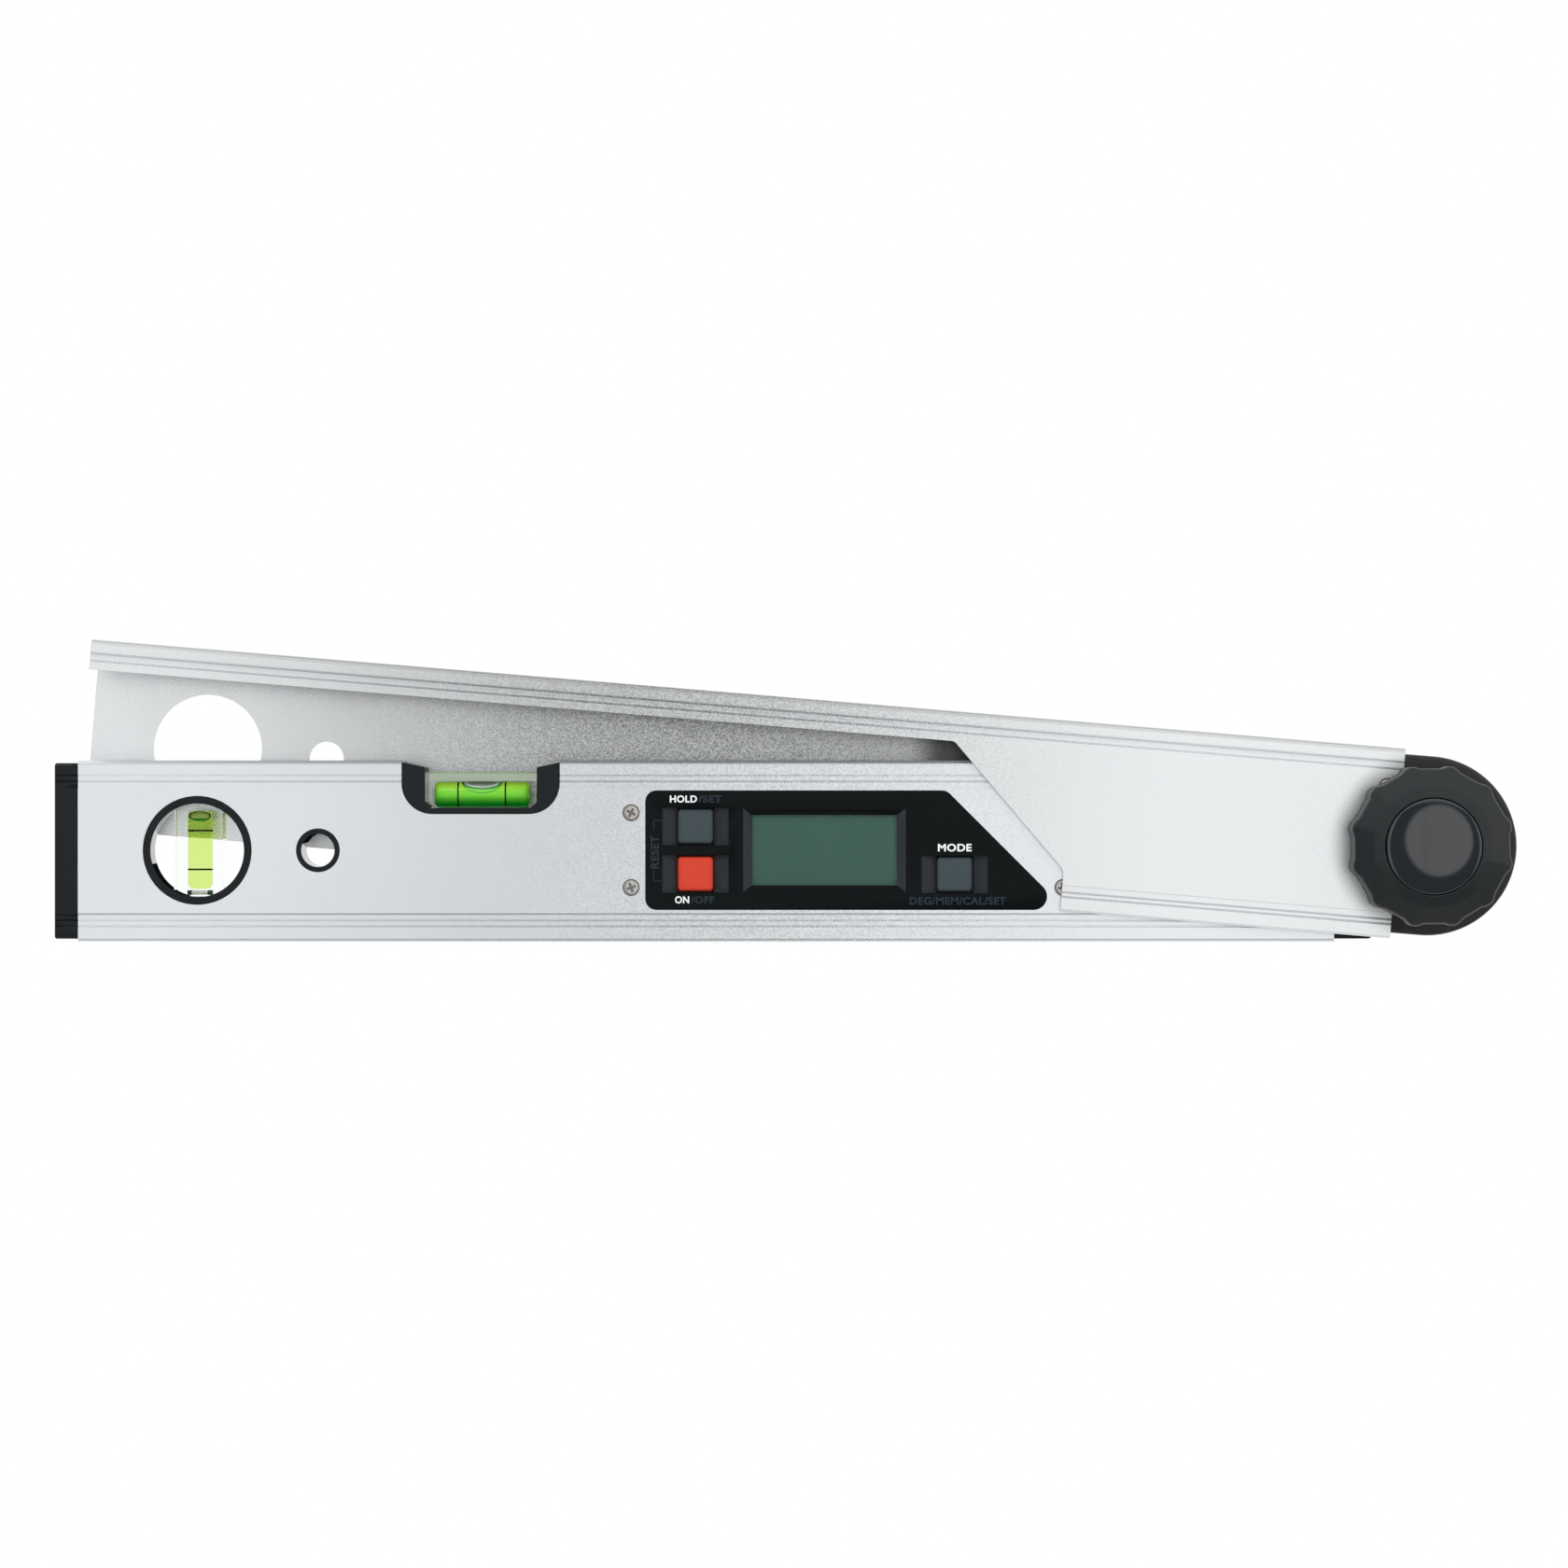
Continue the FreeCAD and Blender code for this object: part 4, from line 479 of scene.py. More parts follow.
finishes = {
    "aluminium": dict(blasted, base=(0.765, 0.792, 0.810), metallic=0.85, grainSize=0.42,
                      grain=0.03, roughness=0.32, paintedMidShade=0.21,
                      speckle=[(0.33, 0.20, 22, 120, 0.0)], lines=baseShadeAndHighlightLines),
    "swingAluminium": dict(blasted, base=(0.735, 0.752, 0.762), metallic=0.9, grainSize=0.45,
                           grain=0.02, roughness=0.27, paintedMidShade=0.39,
                           speckle=[(0.33, 0.52, 0, 132, 0.42)], lines=swingShadeAndHighlightLines,
                           shade=channelShade),
    "blackPlastic": dict(moulded, base=(0.0085, 0.0115, 0.0130), specular=0.16),
    "hingePlastic": dict(moulded, base=(0.0125, 0.0150, 0.0165), specular=0.4, roughness=0.42),
    "knobPlastic": dict(moulded, base=(0.0035, 0.0062, 0.0082), specular=0.52, clouds=0.04,
                        roughness=0.38),
    "mattBlack": dict(moulded, base=(0.0075, 0.0095, 0.0095), specular=0.0, roughness=0.9,
                      spread=0.02, bump=0.2),
    "panelPlastic": dict(satin, base=(0.0030, 0.0046, 0.0052), specular=0.08),
    "scoopLitPlastic": dict(satin, base=(0.026, 0.029, 0.033), specular=0.14),
    "badgePlastic": dict(vialGreen, base=(0.0008, 0.0035, 0.0072), specular=0.88, grain=0.03,
                         roughness=0.07, spread=0.01),
    "glossWall": dict(vialGreen, base=(0.0075, 0.0095, 0.0095), specular=0.5, grainSize=0.3,
                      grain=0.05, roughness=0.12, spread=0.01),
    "greyButton": dict(keyTop, base=(0.050, 0.068, 0.076)),
    "redButton": dict(keyTop, base=(0.62, 0.055, 0.029), grain=0.04),
    "nickelSteel": dict(screwSteel, base=(0.46, 0.44, 0.42), grainSize=0.35, grain=0.12,
                        roughness=0.26),
    "recessShadeSteel": dict(screwSteel, base=(0.20, 0.195, 0.19), grainSize=0.25, grain=0.15,
                        roughness=0.35),
    "deepGreen": dict(vialGreen, base=(0.002, 0.050, 0.016)),
    "bottleGreen": dict(vialGreen, base=(0.006, 0.17, 0.05)),
    "jadeGreen": dict(vialGreen, base=(0.012, 0.36, 0.13)),
    "limeGreen": dict(vialGreen, base=(0.17, 0.62, 0.045), grain=0.04),
    "edgeGreen": dict(vialGreen, base=(0.20, 0.34, 0.10), grainSize=0.3, grain=0.08, clouds=0.05),
    "bubbleGleam": dict(gleam, base=(0.62, 0.70, 0.60)),
    "bubbleGrey": dict(gleam, base=(0.30, 0.33, 0.30)),
    "paleGlint": dict(gleam, base=(0.72, 0.82, 0.55), specular=0.5),
    "footPlastic": dict(gleam, base=(0.60, 0.66, 0.60), specular=0.5, grainSize=0.3, grain=0.06,
                        roughness=0.2),
    "boltSteel": dict(inner, base=(0.42, 0.42, 0.43), metallic=1.0),
    "bushBrass": dict(inner, base=(0.72, 0.50, 0.20), metallic=1.0),
    "washerPlastic": dict(inner, base=(0.55, 0.54, 0.50), grainSize=0.2, grain=0.04, clouds=0.03,
                          roughness=0.45, spread=0.04),
    "switchPlastic": dict(inner, base=(0.03, 0.03, 0.032), grainSize=0.2, clouds=0.03,
                          roughness=0.45, spread=0.04),
    "circuitLaminate": dict(inner, base=(0.02, 0.12, 0.04), grainSize=0.5, grain=0.12,
                            clouds=0.06, roughness=0.4, spread=0.06, bumpDepth=0.02),
    "ribbonFilm": dict(inner, base=(0.42, 0.20, 0.06), grainSize=0.4, clouds=0.05, bump=0.1),
    "batteryCan": dict(inner, base=(0.10, 0.12, 0.16), metallic=0.3, grain=0.05, clouds=0.05,
                       spread=0.04, bump=0.1),
    "blackInk": dict(ink, base=(0.006, 0.008, 0.006), grainSize=0.1, grain=0.05),
    "whiteInk": dict(ink, base=(0.86, 0.87, 0.88)),
    "dimInk": dict(ink, base=(0.022, 0.034, 0.046), specular=0.1),
}
material = {name: grainedMaterial(name, **values) for name, values in finishes.items()}


def clearMaterial(name, tint, transmission=1.0, ior=1.12, roughness=0.02, alpha=1.0, glow=0.0):
    made, tree, shader = startMaterial(name)
    surface = useGrain(
        tree, (*tint, 1), grainSize=2.0, grain=0.004, cloudSize=20, clouds=0.01,
        roughness=roughness, spread=0.004,
    )
    fill(tree, shader, {
        "Base Color": surface["Color"], "Roughness": surface["Roughness"],
        "Transmission Weight": transmission, "IOR": ior, "Alpha": alpha,
    })
    # a glow is painted light: the piece glows though it is no lamp
    if glow:
        fill(tree, shader, {"Emission Color": surface["Color"], "Emission Strength": glow})
    return made


clearFinishes = {
    "clearPlastic": dict(tint=(0.97, 0.985, 0.97), ior=1.07),
    "plumbFluid": dict(tint=(0.70, 0.88, 0.26), ior=1.06),
    "windowPlastic": dict(tint=(0.10, 0.13, 0.12), transmission=0.0, ior=1.3, roughness=0.06,
                          alpha=0.05),
    "frostedPlastic": dict(tint=(0.74, 0.80, 0.70), transmission=0.0, ior=1.2, roughness=0.4,
                           alpha=0.45, glow=0.42),
}
for name, values in clearFinishes.items():
    material[name] = clearMaterial(name, **values)

# the level vial's fluid, with painted light and shade: pale at its top, deep green towards its
# bottom, and a painted glow
levelFluid = dict(top=(0.38, 0.66, 0.06), mid=(0.16, 0.58, 0.032), deep=(0.0, 0.22, 0.012),
                  glow=0.25, foot=0.0006, midFrom=0.5, midTo=0.55)


def fluidMaterial(name, bottom, top):
    made, tree, shader = startMaterial(name)
    shape = levelFluid
    height = objectPlace(tree)[1]["Z"]
    low = useGroup(tree, fadeGroup, {
        "Low": (*shape["deep"], 1), "High": (*shape["mid"], 1), "Position": height,
        "From": bottom + shape["foot"], "To": bottom + (top - bottom) * shape["midTo"],
    })
    high = useGroup(tree, fadeGroup, {
        "Low": low["Color"], "High": (*shape["top"], 1), "Position": height,
        "From": bottom + (top - bottom) * shape["midFrom"], "To": top,
    })
    # the glow is painted light: the fluid glows though it is no lamp
    fill(tree, shader, {
        "Base Color": high["Color"], "Emission Color": high["Color"],
        "Emission Strength": shape["glow"], "Roughness": 0.08, "IOR": 1.3,
        "Transmission Weight": 0.15,
    })
    return made


# the screen: a shade falls on it along its left and upper edges
lcdGlass = dict(base=(0.034, 0.098, 0.070), shade=(0.012, 0.045, 0.030), fade=0.0016)


def lcdMaterial(name, left, top):
    made, tree, shader = startMaterial(name)
    shade, fade = (*lcdGlass["shade"], 1), lcdGlass["fade"]
    apart = objectPlace(tree)[1]
    side = useGroup(tree, fadeGroup, {
        "Low": shade, "High": (*lcdGlass["base"], 1), "From": left, "To": left + fade,
        "Position": apart["X"],
    })
    upper = useGroup(tree, fadeGroup, {
        "Low": shade, "High": side["Color"], "From": 0.0, "To": fade,
        "Position": lessFrom(tree, top, apart["Z"]),
    })
    surface = useGrain(
        tree, upper["Color"], grainSize=0.25, grain=0.03, cloudSize=20, clouds=0.02,
        roughness=0.35, spread=0.02,
    )
    fill(tree, shader, {
        "Base Color": surface["Color"], "Roughness": surface["Roughness"],
        "Specular IOR Level": 0.25,
    })
    return made


levelLow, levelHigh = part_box("level_vial_fluid")
lcdLow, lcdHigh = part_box("lcd_panel")
material["levelFluid"] = fluidMaterial("levelFluid", levelLow.z, levelHigh.z)
material["lcdGlass"] = lcdMaterial("lcdGlass", lcdLow.x, lcdHigh.z)
print("materials made")

# which nodes have which finish
finishUse = {
    "aluminium": ["base_arm_extrusion"],
    "swingAluminium": ["swing_arm_channel"],
    "blackPlastic": ["base_end_cap", "hinge_housing", "level_vial_holder", "plumb_bezel_front",
                     "plumb_bezel_rear", "hang_hole_bush", "module_frame", "battery_door",
                     "rear_bolt_cover"],
    "hingePlastic": ["front_hinge_cap", "rear_hinge_cap"],
    "knobPlastic": ["lock_knob"],
    "badgePlastic": ["badge_cap"],
    "panelPlastic": ["display_bezel"],
    "greyButton": ["button_hold", "button_mode"],
    "redButton": ["button_power"],
    "lcdGlass": ["lcd_panel"],
    "windowPlastic": ["display_window"],
    "clearPlastic": ["level_vial_block", "plumb_vial_block"],
    "levelFluid": ["level_vial_fluid"],
    "plumbFluid": ["plumb_vial_fluid"],
    "blackInk": ["level_vial_rings", "plumb_vial_rings"],
    "nickelSteel": ["module_screws", "housing_screws", "battery_door_screw", "front_cap_screws",
                    "rear_cap_screws", "battery_contacts"],
    "boltSteel": ["pivot_bolt"],
    "bushBrass": ["hinge_bush", "knob_insert"],
    "washerPlastic": ["friction_washers", "thrust_washer"],
    "circuitLaminate": ["circuit_board", "encoder_board", "encoder_disc"],
    "ribbonFilm": ["encoder_ribbon"],
    "switchPlastic": ["key_switches"],
    "batteryCan": ["battery_cells"],
}
finishOf = {name: finish for finish, names in finishUse.items() for name in names}


def dress(piece, finish):
    piece.data.materials.clear()
    piece.data.materials.append(material[finish])


# a piece that takes a node's place, on its body and in its slot
def standIn(piece, name, finish=None):
    if finish:
        dress(piece, finish)
    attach(piece, nodes[name]["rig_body"])
    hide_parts(name)


# a piece of its own on the base arm
def addToBase(piece, finish):
    dress(piece, finish)
    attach(piece, "base_arm")


for name, piece in nodes.items():
    dress(piece, finishOf[name])
print("frame dressed")

# the swing arm's second groove, moved along its flat: where it was and where it goes, in mm
grooveMove = dict(middle=23.2, reach=0.35, shift=-0.8, depth=12.5)
# how a node's copy is welded, in mm and degrees
weld = dict(gap=0.002, flat=0.05, sharp=36, weight=60)
# the nodes whose copies are welded, with the width in mm of their edge bevel
welded = {
    "front_hinge_cap": 0, "rear_hinge_cap": 0, "base_end_cap": 0, "plumb_bezel_front": 0,
    "plumb_bezel_rear": 0, "hang_hole_bush": 0, "level_vial_holder": 0, "display_bezel": 0,
    "base_arm_extrusion": 0.12, "swing_arm_channel": 0.12, "hinge_housing": 0,
    "rear_bolt_cover": 0,
}


def moveGroove(piece):
    shape = grooveMove
    up, offset = armUp["swingAluminium"]
    for vertex in piece.data.vertices:
        height = (vertex.co.dot(up) - offset) / mm
        near = abs(height - shape["middle"]) < shape["reach"]
        if near and abs(vertex.co.y) > shape["depth"] * mm:
            vertex.co += up * shape["shift"] * mm


# a node's own shape with its corners welded, so that round faces shade round
def weldedCopy(name, edge):
    twin = copyOf(nodes[name], name + "_dressed")
    del twin["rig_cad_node"]
    del twin["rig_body"]
    makeActive(twin)
    mergeDoubles(weld["gap"] * mm)
    if edge:
        bpy.ops.mesh.dissolve_limited(angle_limit=math.radians(weld["flat"]))
    bpy.ops.object.mode_set(mode="OBJECT")
    if name == "swing_arm_channel":
        moveGroove(twin)
    if edge:
        applyModifier(
            twin, "BEVEL", width=edge * mm, segments=2, limit_method="ANGLE",
            angle_limit=math.radians(weld["sharp"]), use_clamp_overlap=True,
        )
    smooth(twin)
    applyModifier(
        twin, "WEIGHTED_NORMAL", mode="FACE_AREA", weight=weld["weight"], keep_sharp=True
    )
    return twin


dressed = {}
for name, width in welded.items():
    dressed[name] = weldedCopy(name, width)
    standIn(dressed[name], name, finishOf[name])

# the panel's finger scoops and screen bevels, where they face the sides, take a lighter copy of its
# plastic: painted light from the sides
bezel = dressed["display_bezel"]
bezel.data.materials.append(material["scoopLitPlastic"])
scoop = dict(sideways=0.12, forward=-0.2)
for face in bezel.data.polygons:
    if abs(face.normal.x) > scoop["sideways"] and face.normal.y < scoop["forward"]:
        face.material_index = 1

# the walls of the see-through holes are polished, but for a matt stretch between two angles
mattWalls = {"plumb_bezel_front": (197, 258), "plumb_bezel_rear": (197, 258),
             "hang_hole_bush": (60, 155)}
faceTilt = 0.6  # above this a face looks to the front or back and isn't a wall
for name, (fromAngle, toAngle) in mattWalls.items():
    lining = dressed[name]
    low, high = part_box(name)
    lining.data.materials.append(material["glossWall"])
    lining.data.materials.append(material["mattBlack"])
    for face in lining.data.polygons:
        if abs(face.normal.y) > faceTilt:
            continue
        aside = face.center.x - (low.x + high.x) / 2
        above = face.center.z - (low.z + high.z) / 2
        angle = math.degrees(math.atan2(above, aside)) % 360
        face.material_index = 2 if fromAngle < angle < toAngle else 1
print("round parts shaded")


# clamping knob and its badge, in mm and degrees
knob = dict(
    back=-13.9, wallFront=-29.3, bevelFront=-32.9, crownFront=-34.2, floorFront=-28.7,
    floorBack=-27.1, hubBack=-14.35, radius=24.7, flatRadius=23.4, lobeRadius=3.4,
    bevelRadius=18.0, mouthRadius=14.65, mouthDepth=-30, insertRadius=6.3, hubRadius=8.85,
    innerRadius=20.8, turn=1.0, pitch=30.0, blend=0.55, facet=0.6, edgeRound=0.9, bevelRound=0.5,
    lipRound=0.45, backRound=0.4, bevelStart=(23.6, -29.89), crownStart=(17.0, -33.29),
    crownEnd=(15.4, -33.91), wallGap=1, rib=1.6, ribs=6, ribOverlap=0.8, ribDrop=1.6,
)
# radii in mm inside which the lobes leave the mouth, the hub and the floor as they are, from
# which they pull, and between which the flats turn into facets
lobeReach = dict(mouth=15.2, hub=22, floor=21, pull=18.5, facetFrom=15.6, facetTo=17.8)


def lobedRadius(angle):
    shape = knob
    offset = (angle - shape["turn"]) % shape["pitch"] - shape["pitch"] / 2
    # lobes stand at the corners, so the flat's middle is half a pitch away
    fromLobe = math.radians(offset)
    fromFlat = math.radians(shape["pitch"] / 2 - abs(offset))
    flat = shape["flatRadius"] / math.cos(fromFlat)
    centre = shape["radius"] - shape["lobeRadius"]
    inside = shape["lobeRadius"] ** 2 - (centre * math.sin(fromLobe)) ** 2
    lobe = centre * math.cos(fromLobe) + math.sqrt(inside) if inside > 0 else 0
    overlap = max(shape["blend"] - abs(flat - lobe), 0) / shape["blend"]
    return max(flat, lobe) + overlap * overlap * shape["blend"] / 4, math.cos(fromFlat)


def makeKnob():
    shape = knob
    radius, back, front = shape["radius"], shape["back"], shape["wallFront"]
    wallTop = (radius, front)
    bevelTop = (shape["bevelRadius"], shape["bevelFront"])
    lip = (shape["mouthRadius"], shape["crownFront"])
    points = [
        (shape["insertRadius"], shape["hubBack"]),
        (shape["hubRadius"], shape["hubBack"]),
        (shape["hubRadius"], shape["floorBack"]),
        (shape["innerRadius"], shape["floorBack"]),
        (shape["innerRadius"], back),
        (radius - shape["backRound"], back),
    ]
    points += stretch((radius, back - shape["backRound"]), (radius, front + shape["wallGap"]), 6)
    points += roundCorner((radius, back), wallTop, bevelTop, shape["edgeRound"], 6)
    points += stretch(shape["bevelStart"], bevelTop, 8)
    points += roundCorner(wallTop, bevelTop, lip, shape["bevelRound"], 2)
    points += stretch(shape["crownStart"], shape["crownEnd"], 3)
    points += roundCorner(
        bevelTop, lip, (shape["mouthRadius"], shape["mouthDepth"]), shape["lipRound"], 4
    )
    points += [(shape["mouthRadius"], shape["floorFront"]),
               (shape["insertRadius"], shape["floorFront"])]
    made = revolve(points, steps=360, name="knob_shell")
    slope = (front - shape["bevelFront"]) / (radius - shape["bevelRadius"])
    for vertex in made.data.vertices:
        x, y, z = (value / mm for value in vertex.co)
        away = math.hypot(x, z)
        if away < lobeReach["mouth"] or y > shape["hubBack"] and away < lobeReach["hub"]:
            continue
        if away < lobeReach["floor"] and y > shape["floorFront"]:
            continue
        lobed, corner = lobedRadius(math.degrees(math.atan2(z, x)))
        moved = away - smoothStep(away, lobeReach["pull"], radius) * (radius - lobed)
        forward = smoothStep(-y, -back, -front)
        y += slope * (moved - away) * forward
        facets = smoothStep(away, lobeReach["facetFrom"], lobeReach["facetTo"])
        y -= slope * facets * forward * shape["facet"] * moved * (1 - corner)
        vertex.co = (x / away * moved * mm, y * mm, z / away * moved * mm)
    smooth(made, angle=40)
    parts = [made]
    length = shape["innerRadius"] - shape["hubRadius"] + shape["ribOverlap"]
    depth = shape["hubBack"] - shape["floorBack"] - shape["ribDrop"]
    for step in range(shape["ribs"]):
        bpy.ops.mesh.primitive_cube_add(size=1)
        rib = bpy.context.object
        rib.scale = (length * mm, depth * mm, shape["rib"] * mm)
        rib.location = ((shape["hubRadius"] + shape["innerRadius"]) / 2 * mm,
                        (shape["floorBack"] + depth / 2) * mm, 0)
        settle(rib)
        turn = 2 * math.pi * step / shape["ribs"]
        rib.data.transform(Matrix.Rotation(turn, 4, "Y"))
        parts.append(rib)
    whole = joinPieces(parts, "knob_shell")
    whole.data.transform(Matrix.Translation(pivot))
    return whole


badge = dict(radius=14.35, front=-36.89, rim=-34.8, back=-33.2, stem=5.95, bore=4.0, socket=-29.0,
             boreEnd=-33.2, rings=24, domeEdge=0.35, rimEdge=(0.12, 0.02), rimRound=0.25)


def makeBadge():
    shape = badge
    crown = shape["rim"] - shape["front"]
    curve = (shape["radius"] ** 2 + crown ** 2) / (2 * crown)
    points = []
    for step in range(shape["rings"]):
        radius = (shape["radius"] - shape["domeEdge"]) * step / (shape["rings"] - 1)
        points.append((radius, shape["front"] + curve - math.sqrt(curve * curve - radius * radius)))
    inset, drop = shape["rimEdge"]
    points += [(shape["radius"] - inset, shape["rim"] + drop),
               (shape["radius"], shape["rim"] + shape["rimRound"]),
               (shape["radius"], shape["back"]), (shape["stem"], shape["back"]),
               (shape["stem"], shape["socket"]), (shape["bore"], shape["socket"]),
               (shape["bore"], shape["boreEnd"]), (0, shape["boreEnd"])]
    made = revolve(points, steps=128, name="badge_dome")
    smooth(made, angle=40)
    made.data.transform(Matrix.Translation(pivot))
    return made


standIn(makeKnob(), "lock_knob", "knobPlastic")
standIn(makeBadge(), "badge_cap", "badgePlastic")
print("knob turned")


# selects the edges that a test of their two ends picks, and bevels them
def bevelEdges(piece, test, width, segments):
    makeActive(piece)
    bpy.ops.object.mode_set(mode="EDIT")
    bpy.ops.mesh.select_all(action="DESELECT")
    bpy.ops.object.mode_set(mode="OBJECT")
    for edge in piece.data.edges:
        edge.select = test(*(piece.data.vertices[v].co for v in edge.vertices))
    bpy.ops.object.mode_set(mode="EDIT")
    bpy.ops.mesh.bevel(offset=width * mm, segments=segments, profile=0.5, affect="EDGES")
    bpy.ops.object.mode_set(mode="OBJECT")


# a block between two corners given along each axis in mm, which a rounding turns along Y
def makeBlock(x, y, z, name="block", round=0, segments=6):
    deselectAll()
    bpy.ops.mesh.primitive_cube_add(size=1)
    made = bpy.context.object
    made.location = [(a + b) / 2 * mm for a, b in (x, y, z)]
    made.scale = [(b - a) * mm for a, b in (x, y, z)]
    made.name = name
    settle(made)
    if round:
        bevelEdges(made, lambda a, b: abs(a.x - b.x) + abs(a.z - b.z) < tiny, round, segments)
    return made


def roundedBlock(x, y, z, round, name):
    made = makeBlock(x, y, z, name)
    bevelEdges(made, lambda a, b: True, round, 3)
    smooth(made, angle=30)
    return made


# both ends of a stretch about its middle
def about(middle, width):
    return middle - width / 2, middle + width / 2


# buttons
buttonCap = dict(width=10.7, tall=10.5, round=1.25, edge=0.45, skirt=12.5, skirtTall=12.3,
                 skirtDepth=0.8, skirtRound=0.6)


def makeButton(name):
    low, high = boxOf(name)
    middle = (low + high) / 2
    shape = buttonCap
    skirtFront = high.y - shape["skirtDepth"]
    cap = makeBlock(
        about(middle.x, shape["width"]), (low.y, skirtFront), about(middle.z, shape["tall"]),
        round=shape["round"], segments=7,
    )
    bevelEdges(
        cap, lambda a, b: all(abs(end.y - low.y * mm) < weldGap for end in (a, b)), shape["edge"], 3
    )
    skirt = makeBlock(
        about(middle.x, shape["skirt"]), (skirtFront, high.y),
        about(middle.z, shape["skirtTall"]), round=shape["skirtRound"], segments=3,
    )
    whole = joinPieces([cap, skirt], name + "_cap")
    smooth(whole, angle=30)
    standIn(whole, name, finishOf[name])


for name in ("button_hold", "button_power", "button_mode"):
    makeButton(name)
print("buttons made")

# the screen and the window before it, with a thin gap between them
screenGap = 0.03
low, high = boxOf("lcd_panel")
screenFace = makeBlock(
    (low.x, high.x), (low.y + screenGap, high.y), (low.z, high.z), "screen_face"
)
standIn(screenFace, "lcd_panel", "lcdGlass")
low, high = boxOf("display_window")
window = makeBlock(
    (low.x, high.x), (low.y, high.y - screenGap), (low.z, high.z), "screen_window"
)
standIn(window, "display_window", "windowPlastic")
print("screen set in")


# a vial's clear block, its edges rounded
def makeVialBlock(node, round, name):
    low, high = boxOf(node)
    block = roundedBlock((low.x, high.x), (low.y, high.y), (low.z, high.z), round, name)
    standIn(block, node, "clearPlastic")


# a ring of oval shape facing the front, in mm, whose wire is thick in depth
def ovalRing(wide, tall, wire, thick, place, segments):
    bpy.ops.mesh.primitive_torus_add(
        major_radius=1, minor_radius=wire, major_segments=segments[0], minor_segments=segments[1]
    )
    ring = bpy.context.object
    ring.rotation_euler.x = math.radians(90)
    settle(ring)
    ring.data.transform(Matrix.Diagonal((wide * mm, thick * mm, tall * mm, 1)))
    ring.data.transform(Matrix.Translation([value * mm for value in place]))
    return ring


# plumb vial, in mm
plumb = dict(radius=3.72, lowRound=2.2, highRound=1.2, lineRadius=3.80, line=0.5, spread=5.9,
             blockRound=0.35, bubbleDrop=1.5, bubbleDepth=-1.4, rim=(3.05, 1.22, 0.26),
             gleam=(2.75, 1.0), crescent=(2.1, 0.5), crescentDrop=1.1, crescentDepth=-1.5,
             dropThick=0.4, foot=(7.5, 1.25, 14.15), footDepth=5.0, footRound=0.15, footEnd=1.35,
             endProud=0.1, endRound=0.2)
tubeLow, tubeHigh = boxOf("plumb_vial_fluid")
tubeMiddle = (tubeLow + tubeHigh) / 2


def uprightPiece(points, steps, name):
    made = revolve(points, steps, name)
    made.data.transform(Matrix.Rotation(math.radians(90), 4, "X"))
    made.data.transform(Matrix.Translation((tubeMiddle.x * mm, 0, tubeMiddle.z * mm)))
    return made


# a flat oval drop facing the front, at a depth and height in mm
def makeDrop(size, depth, place, name):
    deselectAll()
    bpy.ops.mesh.primitive_uv_sphere_add(segments=40, ring_count=20, radius=1)
    drop = bpy.context.object
    drop.scale = (size[0] * mm, depth * mm, size[1] * mm)
    drop.location = [value * mm for value in place]
    settle(drop)
    smooth(drop, angle=60)
    drop.name = name
    return drop


def makePlumbVial():
    shape = plumb
    radius, half = shape["radius"], tubeHigh.z - tubeMiddle.z
    outline = rodOutline(radius, half, shape["lowRound"], shape["highRound"])
    fluid = uprightPiece(outline, steps=96, name="plumb_fluid")
    smooth(fluid, angle=50)
    standIn(fluid, "plumb_vial_fluid", "plumbFluid")
    rings = []
    for middle in (shape["spread"], -shape["spread"]):
        low, high = about(middle, shape["line"])
        band = [(radius, low), (shape["lineRadius"], low), (shape["lineRadius"], high),
                (radius, high)]
        rings.append(uprightPiece(band, steps=96, name="ring"))
    lines = joinPieces(rings, "plumb_lines")
    smooth(lines, angle=40)
    standIn(lines, "plumb_vial_rings", "blackInk")
    makeVialBlock("plumb_vial_block", shape["blockRound"], "plumb_block")

    # the bubble: a dark rim, a pale gleam in it and a green crescent under it
    top = tubeHigh.z - shape["bubbleDrop"]
    wide, tall, wire = shape["rim"]
    place = (tubeMiddle.x, shape["bubbleDepth"], top)
    rim = ovalRing(wide, tall, wire / wide, 1, place, (64, 12))
    smooth(rim, angle=60)
    rim.name = "plumb_bubble_rim"
    gleam = makeDrop(shape["gleam"], shape["dropThick"], place, "plumb_bubble")
    place = (tubeMiddle.x, shape["crescentDepth"], top - shape["crescentDrop"])
    crescent = makeDrop(shape["crescent"], shape["dropThick"], place, "plumb_crescent")
    for piece, finish in ((rim, "deepGreen"), (gleam, "bubbleGleam"), (crescent, "jadeGreen")):
        addToBase(piece, finish)

    # the foot the tube stands on, clear between two green ends
    wide, tall, base = shape["foot"]
    left, right = about(tubeMiddle.x, wide)
    end, proud = shape["footEnd"], shape["endProud"]
    middle = roundedBlock((left + end, right - end), about(0, shape["footDepth"]),
                          (base, base + tall), shape["footRound"], "plumb_foot")
    ends = [
        roundedBlock(side, about(0, shape["footDepth"] + 2 * proud),
                     (base - proud, base + tall + proud), shape["endRound"], "foot_end")
        for side in ((left, left + end), (right - end, right))
    ]
    addToBase(middle, "footPlastic")
    addToBase(joinPieces(ends, "plumb_foot_ends"), "deepGreen")


makePlumbVial()
print("plumb vial filled")


# level vial, in mm
level = dict(radius=3.83, step=0.004, endRound=1.7, inset=0.8, glint=(1.9, 3.35, 0.24),
             glintWire=0.04, glintReach=0.85, shadowLine=0.55, shadowRise=0.6, ovalRod=14,
             ovalCutter=20, blockRound=0.3, shineInset=1.2, shineDepth=(-1.2, -0.9),
             shineRise=(-0.05, 0.22), shineRound=0.06, bandInset=0.5, bandDepth=(6.6, 7.2),
             bandBottom=48.7, bandTop=51.1, bandRound=0.1, trimTall=0.3, trimRound=0.05)
